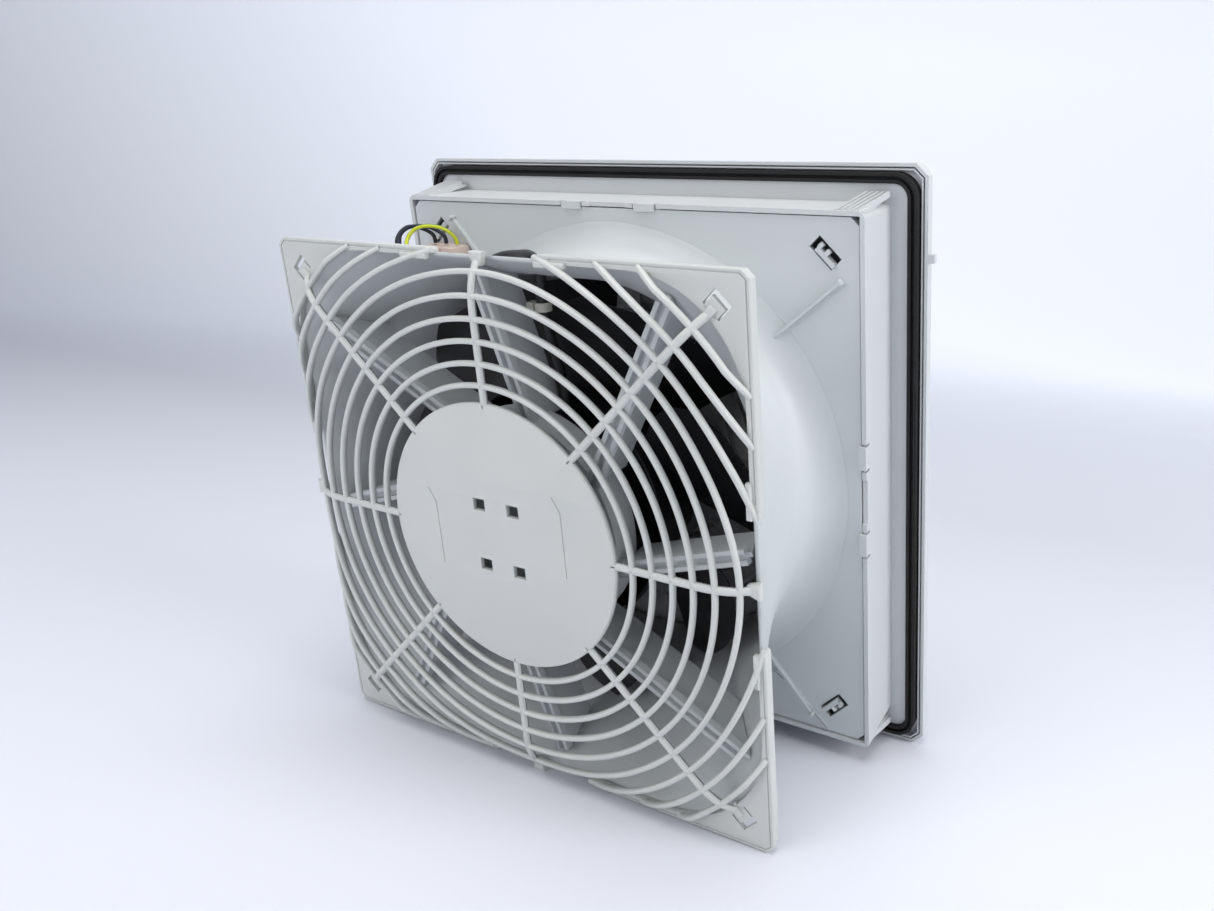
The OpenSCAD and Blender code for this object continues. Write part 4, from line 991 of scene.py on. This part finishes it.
@dataclass
class AirDuct:
    """Thin wall from the round throat at the carrier to the square outlet at the guard."""

    low: float = 31.0
    high: float = 119.0
    throat_r: float = 112.0
    outlet_half: float = 129.0
    outlet_r: float = 53.0
    wall: float = 2.0
    rim: float = 0.6
    rim_share: float = 0.3
    power: float = 3.4
    foot_r: float = 20.0
    sunk: float = 0.03
    rib_turn: float = 40.0
    rib_t: float = 1.6
    rib_h: float = 2.4
    rib_near: float = 134.4
    rib_edge: float = 0.15
    around: int = 240
    steps: int = 36

    def foot(self, z: float) -> float:
        """Width that the hollow fillet at the foot adds at a depth."""
        left = max(0.0, self.foot_r - (z - self.low))
        return self.foot_r - math.sqrt(max(0.0, self.foot_r**2 - left**2))

    def radius(self, degrees: float, z: float) -> float:
        """Inside radius of the wall in a direction at a depth.

        Args:
            degrees: The direction.
            z: The depth.

        Returns:
            The radius, on a square with round corners.
        """
        t = max(0.0, (z - self.low) / (self.high - self.low))
        a = self.throat_r + (self.outlet_half - self.throat_r) * t**self.power
        c = self.throat_r + (self.outlet_r - self.throat_r) * t ** (self.power / 2)
        q = abs(degrees - 90 * round(degrees / 90))
        flat = math.degrees(math.atan((a - c) / a))
        if q <= flat:
            return a / math.cos(math.radians(q))
        k = math.sqrt(2) * (a - c)
        off = math.radians(q - 45)
        return k * math.cos(off) + math.sqrt(c * c - (k * math.sin(off)) ** 2)

    def build(self) -> None:
        """Make the wall as one closed skin with a rounded outlet rim."""
        rim, top = self.rim, self.high
        straight = self.high - rim - self.low
        section = [(0.0, self.low + straight * i / self.steps) for i in range(self.steps + 1)]
        soft = rim * self.rim_share
        section += [(soft, top - soft), (rim, top)]
        section += [(self.wall - rim, top), (self.wall - soft, top - soft)]
        for i in range(2 * self.steps + 1):
            z = self.low + straight * (1 - i / (2 * self.steps)) ** 2
            section.append((self.wall + self.foot(z), z - self.sunk))
        rings = []
        for out, z in section:
            ring = []
            for i in range(self.around):
                degrees = 360 * i / self.around
                r, t = self.radius(degrees, z) + out, math.radians(degrees)
                ring.append((r * math.cos(t), r * math.sin(t), z))
            rings.append(ring)
        mesh = closed_skin("duct_wall", rings, 50)
        settle(new_object("duct_wall", mesh, DUCT_ABS), "duct_plastic", "air_duct")
        self.rib_runs()

    def rib_runs(self) -> None:
        """Runs of the four ribs over the hollow fillet, down to where it swallows them."""
        start, w = self.throat_r + self.wall + self.foot_r / 2, self.rib_t / 2
        low, top = self.low - self.sunk, self.low + self.rib_h
        run = ("rib_run", [rectangle(start, -w, self.rib_near, w)], low, top, self.rib_edge)
        runs = four_plates([run], DUCT_ABS, self.rib_turn)
        settle(join("rib_runs", runs), "duct_plastic")


# --- impeller


@dataclass
class Impeller:
    """Seven twisted blades on a flared hub."""

    blades: int = 7
    tip_r: float = 109.5
    front: float = 36.0
    deep: float = 52.0
    start: float = -14.0
    lead: float = 4.0
    wrap_hub: float = 51.0
    wrap_tip: float = 44.0
    bow: float = 10.0
    bow_shares: Shares = ((0, 0), (0.3, 0.8), (0.55, 1), (0.8, 0.8), (1, 0))
    tip_gap: float = 2.5
    thick: float = 2.8
    belly: float = 0.1
    edge_share: float = 0.35
    full_from: float = 1.1
    rise_hub: float = 0.82
    rise_more: float = 0.12
    hub_edge: float = 0.5
    hub_in: float = 50.0
    hub_out: float = 63.0
    hub_rest: float = 3.0
    hub_round: float = 0.4
    bore: float = 46.1
    cup_half: float = 23.5
    cup_wall: float = 2.0
    stations: int = 18
    chord: int = 44
    around: int = 160

    def bowed(self, u: float) -> float:
        """How far the rear edge runs ahead at a share of the span.

        Args:
            u: The share, 0 at the hub and 1 at the tip.

        Returns:
            The angle in degrees.
        """
        for (u0, b0), (u1, b1) in zip(self.bow_shares, self.bow_shares[1:]):
            if u <= u1:
                return self.bow * (b0 + (b1 - b0) * (u - u0) / (u1 - u0))
        return 0.0

    def spot(self, u: float, s: float, side: float) -> Vector:
        """A point of the blade skin.

        Args:
            u: Share of the span, 0 at the hub.
            s: Share of the chord, 0 at the front edge.
            side: 1 on the rear face and -1 on the front face.

        Returns:
            The point in fan space.
        """
        inner = self.hub_in + (self.hub_out - self.hub_in) * s - self.cup_wall
        outer = self.tip_r - self.tip_gap * (1 - s) * u
        r = inner + (outer - inner) * u
        wrap = self.wrap_hub + (self.wrap_tip - self.wrap_hub) * u + self.bowed(u)
        turn = self.start - self.lead * u + wrap * s
        rise = self.deep * (s + self.belly * math.sin(math.pi * s))
        full = math.sin(math.pi * min(1.0, s * self.full_from))
        body = self.edge_share + (1 - self.edge_share) * full
        reach = rise * (self.rise_hub + self.rise_more * u)
        z = self.front + reach + side * self.thick * body / 2 + self.thick
        t = math.radians(turn)
        return Vector((r * math.cos(t), r * math.sin(t), z))

    def blade(self) -> Mesh:
        """One blade as a closed skin.

        Returns:
            The mesh.
        """
        work = bmesh.new()
        upper, lower = (
            [
                [
                    work.verts.new(self.spot(i / self.stations, j / self.chord, side))
                    for j in range(self.chord + 1)
                ]
                for i in range(self.stations + 1)
            ]
            for side in (1, -1)
        )
        for i in range(self.stations):
            for j in range(self.chord):
                for skin in (upper, lower):
                    work.faces.new((skin[i][j], skin[i][j + 1], skin[i + 1][j + 1], skin[i + 1][j]))
        for i in range(self.stations):
            for j in (0, self.chord):
                work.faces.new((upper[i][j], upper[i + 1][j], lower[i + 1][j], lower[i][j]))
        for j in range(self.chord):
            for i in (0, self.stations):
                work.faces.new((upper[i][j], upper[i][j + 1], lower[i][j + 1], lower[i][j]))
        return finished_mesh("blade", work, 50)

    def hub(self) -> Mesh:
        """Flared hub as a turned shell round the rotor cup.

        Returns:
            The mesh.
        """
        top = self.front + self.deep + self.hub_rest
        bore, soft = self.bore, self.hub_round
        section = [
            (bore, self.front),
            (self.hub_in - self.hub_edge, self.front),
            (self.hub_in, self.front + self.hub_edge),
            (self.hub_out, top - soft),
            (self.hub_out - soft, top),
            (self.hub_out - self.cup_wall, top),
            (self.hub_in - self.cup_wall * soft, self.front + self.cup_half),
            (bore + self.cup_wall, top - self.cup_wall),
            (bore, top - self.cup_wall),
        ]
        turns = [FULL_TURN * i / self.around for i in range(self.around)]
        rings = [[(r * math.cos(t), r * math.sin(t), z) for t in turns] for r, z in section]
        return closed_skin("impeller_hub", rings, 35)

    def ring_group(self, blade: Object) -> NodeTree:
        """Node group that repeats the blade round the axis.

        Args:
            blade: Object of one blade.

        Returns:
            The group, which adds the blades to what it is given.
        """
        tree, given = new_group("blade_ring", {"Blades": self.blades})
        source = add_node(tree, "GeometryNodeObjectInfo", {"Object": blade}).outputs["Geometry"]
        both = add_node(tree, "GeometryNodeJoinGeometry")
        for part in (spun(tree, source, given["Blades"]), given["Geometry"]):
            tree.links.new(part, both.inputs[0])
        close_group(tree, both.outputs[0], IMPELLER_PA)
        return tree

    def build(self) -> None:
        """Make the impeller and put it in place of its CAD node."""
        blade = new_object("blade_source", self.blade(), IMPELLER_PA)
        piece = new_object("impeller_moulding", self.hub(), IMPELLER_PA)
        piece.modifiers.new("blade_ring", "NODES").node_group = self.ring_group(blade)
        settle(piece, "impeller_plastic", "impeller", body=Body.ROTOR)
        bpy.data.objects.remove(blade)


# --- filter mat


@dataclass
class FilterMat:
    """Fleece pad behind the louvre, crowned a little between its edges."""

    half: float = 137.1
    low: float = -8.9
    thick: float = 16.0
    cells: int = 72
    crown_in: float = 12.0
    edge_share: float = 0.45
    lump: float = 0.35
    lump_size: float = 9.0
    slack: float = 0.05
    fill: float = 0.9

    def build(self) -> None:
        """Make the pad with a soft, uneven skin inside the space of its CAD node."""
        work = bmesh.new()
        bmesh.ops.create_grid(work, x_segments=self.cells, y_segments=self.cells, size=self.half)
        base = bmesh.ops.extrude_face_region(work, geom=work.faces[:])
        for vert in (v for v in base["geom"] if isinstance(v, bmesh.types.BMVert)):
            vert.co.z = self.thick
        middle = self.thick / 2
        for vert in work.verts:
            inner = min(self.half - abs(vert.co.x), self.half - abs(vert.co.y))
            rise = (max(inner, 0.0) / self.crown_in) ** 0.5
            crown = min(1.0, self.edge_share + (1 - self.edge_share) * rise)
            lump = self.lump * noise.noise(vert.co / self.lump_size)
            vert.co.z = middle + (vert.co.z - middle) * (crown - self.slack) + lump
        mesh = finished_mesh("filter_fleece", work, None)
        mesh.transform(Matrix.Translation((0, 0, self.low)))
        smooth_by_angle(mesh, 60)
        pad = new_object("filter_fleece", mesh, MAT_FLEECE)
        settle(pad, "filter_fleece", "filter_mat")


# --- wiring


@dataclass
class Lead:
    """A round lead along given points, with a map that runs along and round it."""

    node: str
    slot: str
    radius: float
    finish: Finish
    route: Sequence[tuple[float, float, float]]
    sides: int = 20
    fine: int = 8
    first_side: tuple[float, float, float] = (0.31, 0.17, 0.93)
    rings_per_map: int = 10

    def path(self) -> list[Vector]:
        """Smooth points through the route.

        Returns:
            The points, with both ends of the route.
        """
        pts = [Vector(p) for p in self.route]
        last = len(pts) - 1
        out = []
        for i in range(last):
            p, q, r, s = pts[max(i - 1, 0)], pts[i], pts[i + 1], pts[min(i + 2, last)]
            steep, flat, cube = r - p, 2 * p - 5 * q + 4 * r - s, 3 * q - p - 3 * r + s
            for t in (k / self.fine for k in range(self.fine)):
                out.append(0.5 * (2 * q + steep * t + flat * t * t + cube * t**3))
        out.append(pts[-1])
        return out

    def build(self) -> None:
        """Sweep the tube and put it in place of its CAD node."""
        points = self.path()
        work = bmesh.new()
        uv = work.loops.layers.uv.new("along")
        side = Vector(self.first_side)
        turns = [FULL_TURN * k / self.sides for k in range(self.sides)]
        rings = []
        for i, point in enumerate(points):
            ahead = points[min(i + 1, len(points) - 1)] - points[max(i - 1, 0)]
            ahead.normalize()
            across = ahead.cross(side).normalized()
            side = across.cross(ahead).normalized()
            spokes = [across * math.cos(t) + side * math.sin(t) for t in turns]
            rings.append([work.verts.new(point + self.radius * spoke) for spoke in spokes])
        for i, (a, b) in enumerate(zip(rings, rings[1:])):
            for k in range(self.sides):
                n = (k + 1) % self.sides
                face = work.faces.new((a[k], a[n], b[n], b[k]))
                face.smooth = True
                corners = ((i, k), (i, k + 1), (i + 1, k + 1), (i + 1, k))
                for loop, (along, around) in zip(face.loops, corners):
                    loop[uv].uv = (along / self.rings_per_map, around / self.sides)
        work.faces.new(rings[0])
        work.faces.new(list(reversed(rings[-1])))
        name = f"{self.node}_pvc"
        mesh = finished_mesh(name, work, None)
        settle(new_object(name, mesh, self.finish), self.slot, self.node)


LEADS = (
    Lead("lead_live", "lead_black", 1.1, PVC_BLACK, (
        (-120.5, 117, 37), (-121, 122, 38), (-125, 126, 42), (-131, 127, 46), (-135, 122, 50),
        (-133, 115, 53), (-125, 109, 55), (-113, 103, 55), (-101, 99, 54), (-93, 97.4, 54.2),
        (-86, 98.6, 56),
    )),
    Lead("lead_neutral", "lead_blue", 1.1, PVC_DARK_BLUE, (
        (-112, 117, 37), (-112.5, 122, 38), (-117, 127, 43), (-124, 128, 49), (-129, 124, 53),
        (-127, 117, 56), (-119, 111, 58), (-108, 104, 58.6), (-99, 100, 57), (-92.5, 98.2, 56.6),
        (-85.4, 99.6, 58.2),
    )),
    Lead("lead_earth", "lead_green_yellow", 1.1, PVC_EARTH, (
        (-103.5, 117, 37), (-103.5, 122, 39), (-106, 127, 44), (-111, 129, 50), (-117, 127, 54),
        (-119, 121, 58), (-115, 114, 61), (-107, 107, 61.6), (-98.6, 102.6, 59.6),
        (-92.6, 100.8, 57), (-86, 101, 56.4),
    )),
    Lead("lead_sleeve", "sleeve_black", 2.8, SLEEVE_PVC, (
        (-85, 100, 57), (-72, 106, 60), (-56, 113, 65), (-36, 119.5, 72), (-16, 123, 81),
        (-1, 125, 90), (7, 122.5, 94.6), (8.5, 116, 95), (8.6, 103, 95), (10.5, 88, 95),
        (14.5, 70, 95), (16, 56, 95), (15, 44.5, 95), (13, 33, 95),
    )),
)


# --- stage


@dataclass
class Studio:
    """Pale floor under the leaning part, soft lamps and the camera of the photograph."""

    rim_edge: tuple[float, float] = (-3.0, -161.5)
    guard_edge: tuple[float, float] = (121.5, -133.0)
    floor_gap: float = 0.0004
    reach: float = 3.2
    sweep: float = 1.2
    wide: float = 9.0
    tall: float = 5.0
    bend_steps: int = 12
    floor_colour: str = "#e0e2ea"
    sky_colour: str = "#e6eaf4"
    sky_strength: float = 0.33
    wall_glow: float = 0.62
    glow_from: float = -0.5
    glow_full: float = -2.4
    eye: tuple[float, float, float] = (-0.28977, 0.39908, 0.19551)
    look: tuple[float, float, float] = (0.42246, -0.86748, -0.26268)
    up: tuple[float, float, float] = (0.09041, -0.24803, 0.96452)
    sensor: float = 36.0
    focal_px: float = 881.64
    centre_px: tuple[float, float] = (803.35, 331.48)

    def floor_frame(self) -> Matrix:
        """Lay the floor through the lower edges of the rim and the guard.

        Returns:
            The matrix of the floor.
        """
        (y0, z0), (y1, z1) = self.rim_edge, self.guard_edge
        lean = math.atan2(z1 - z0, y1 - y0)
        spot = Matrix.Translation((0, y0 * MM, z0 * MM - self.floor_gap))
        return spot @ Matrix.Rotation(lean, 4, "X")

    def backdrop(self) -> None:
        """One sheet: floor, a wide sweep and a wall, in the floor's frame."""
        reach, sweep = self.reach, self.sweep
        bend = arc((sweep - reach, sweep), sweep, 270, 180, self.bend_steps)
        rows = [(self.wide, 0.0), (0.0, 0.0), *bend, (-reach, self.tall)]
        work = bmesh.new()
        lines = [[work.verts.new((x, y, z)) for x in (-self.wide, self.wide)] for y, z in rows]
        for a, b in zip(lines, lines[1:]):
            face = work.faces.new((a[0], a[1], b[1], b[0]))
            face.smooth = True
        mesh = finished_mesh("paper_sweep", work, None)
        facing = math.atan2(self.look[0], -self.look[1])
        mesh.transform(self.floor_frame() @ Matrix.Rotation(facing, 4, "Z"))
        mesh.materials.append(self.paper())
        linked("paper_sweep", mesh)

    def paper(self) -> Material:
        """Matt paper that shows pale to the camera and keeps the part's shadow.

        Returns:
            The material, which glows a little towards the wall as a lit backdrop does.
        """
        material = bpy.data.materials.new("studio_paper")
        tree = blank_tree(material)
        matt = add_node(tree, "ShaderNodeBsdfDiffuse", {"Color": linear(self.floor_colour)})
        place = add_node(tree, "ShaderNodeTexCoord").outputs["Object"]
        deep = add_node(tree, "ShaderNodeSeparateXYZ", {0: place}).outputs["Y"]
        far = ramp(tree, deep, self.glow_from, self.glow_full, 0.0, self.wall_glow)
        inputs = {"Color": linear(self.sky_colour), "Strength": far}
        glow = add_node(tree, "ShaderNodeEmission", inputs)
        both = add_node(tree, "ShaderNodeAddShader", {0: matt.outputs[0], 1: glow.outputs[0]})
        add_node(tree, "ShaderNodeOutputMaterial", {"Surface": both.outputs[0]})
        return material

    def lamps(self) -> None:
        """A wide lamp overhead, one from the right of the view and a weak one before the guard."""
        for name, spot, size, power in (
            ("overhead", (-0.1, 0.15, 1.6), 1.2, 19.0),
            ("right_side", (-1.6, -0.05, 0.6), 1.0, 16.0),
            ("front", (0.6, 1.4, 0.8), 0.8, 8.0),
        ):
            light = bpy.data.lights.new(name, "AREA")
            light.shape = "SQUARE"
            light.size = size
            light.energy = power
            aimed = (-Vector(spot)).to_track_quat("-Z", "Y").to_matrix().to_4x4()
            linked(name, light).matrix_world = Matrix.Translation(spot) @ aimed

    def world(self) -> None:
        """Even light from all round."""
        world = bpy.data.worlds.new("studio_air")
        bpy.context.scene.world = world
        tree = blank_tree(world)
        inputs = {"Color": linear(self.sky_colour), "Strength": self.sky_strength}
        glow = add_node(tree, "ShaderNodeBackground", inputs)
        add_node(tree, "ShaderNodeOutputWorld", {"Surface": glow.outputs[0]})

    def camera(self) -> None:
        """The camera that the photograph was taken with, from a fit to measured points."""
        data = bpy.data.cameras.new("photo_camera")
        data.sensor_width = self.sensor
        data.lens = self.focal_px / PHOTO_WIDTH * data.sensor_width
        data.shift_x = (PHOTO_WIDTH / 2 - self.centre_px[0]) / PHOTO_WIDTH
        data.shift_y = (self.centre_px[1] - PHOTO_HEIGHT / 2) / PHOTO_WIDTH
        data.clip_start = 0.01
        camera = linked("photo_camera", data)
        look, up = Vector(self.look).normalized(), Vector(self.up).normalized()
        right = look.cross(up).normalized()
        turn = Matrix((right, right.cross(look), -look)).transposed().to_4x4()
        camera.matrix_world = Matrix.Translation(self.eye) @ turn
        bpy.context.scene.camera = camera

    def build(self) -> None:
        """Set the stage."""
        self.backdrop()
        self.lamps()
        self.world()
        self.camera()


# --- assembly


@dataclass
class FilterFan:
    """The whole fan: made sub-assemblies and dressed CAD nodes."""

    guard: FanGuard = field(default_factory=FanGuard)
    duct: AirDuct = field(default_factory=AirDuct)
    impeller: Impeller = field(default_factory=Impeller)
    mat: FilterMat = field(default_factory=FilterMat)
    dressings: tuple[Dressing, ...] = (
        Dressing("mounting_frame", "frame_plastic", FRAME_ABS),
        Dressing("louvre_grille", "louvre_plastic", FRAME_ABS, Body.LOUVRE),
        Dressing("panel_gasket", "gasket_foam", GASKET_FOAM),
        Dressing("inlet_grid", "grid_plastic", GRID_ABS),
        Dressing("fan_carrier", "carrier_plastic", CARRIER_ABS),
        Dressing("motor_spider", "spider_plastic", DUCT_ABS),
        Dressing("rotor_cup", "cup_coating", CUP_COAT, Body.ROTOR),
        Dressing("magnet_ring", "magnet_ferrite", FERRITE, Body.ROTOR),
        Dressing("motor_shaft", "shaft_steel", SHAFT_STEEL, Body.ROTOR),
        Dressing("shaft_ring", "ring_steel", SHAFT_STEEL, Body.ROTOR),
        Dressing("front_bearing", "bearing_steel", BEARING_STEEL),
        Dressing("rear_bearing", "bearing_steel", BEARING_STEEL),
        Dressing("stator_core", "lamination_steel", LAMINATION),
        Dressing("stator_windings", "winding_copper", COPPER),
        Dressing("motor_flange", "flange_aluminium", FLANGE_CAST),
        Dressing("motor_screws", "screw_zinc", ZINC),
        Dressing("spring_washer", "ring_steel", SHAFT_STEEL),
        Dressing("terminal_block", "terminal_plastic", TERMINAL_PA),
        Dressing("terminal_screws", "screw_zinc", ZINC),
        Dressing("lead_tie", "tie_nylon", NYLON_TIE),
    )

    def build(self) -> None:
        """Build every piece in order."""
        for part in (*self.dressings, self.guard, self.duct, self.impeller, self.mat, *LEADS):
            part.build()


def main() -> None:
    """Load the frame and build the scene."""
    logging.basicConfig(level=logging.INFO, format="%(name)s: %(message)s")
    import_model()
    Studio().build()
    FilterFan().build()
    bpy.context.scene.view_settings.view_transform = "Standard"
    bpy.context.view_layer.update()


if __name__ == "__main__":
    main()
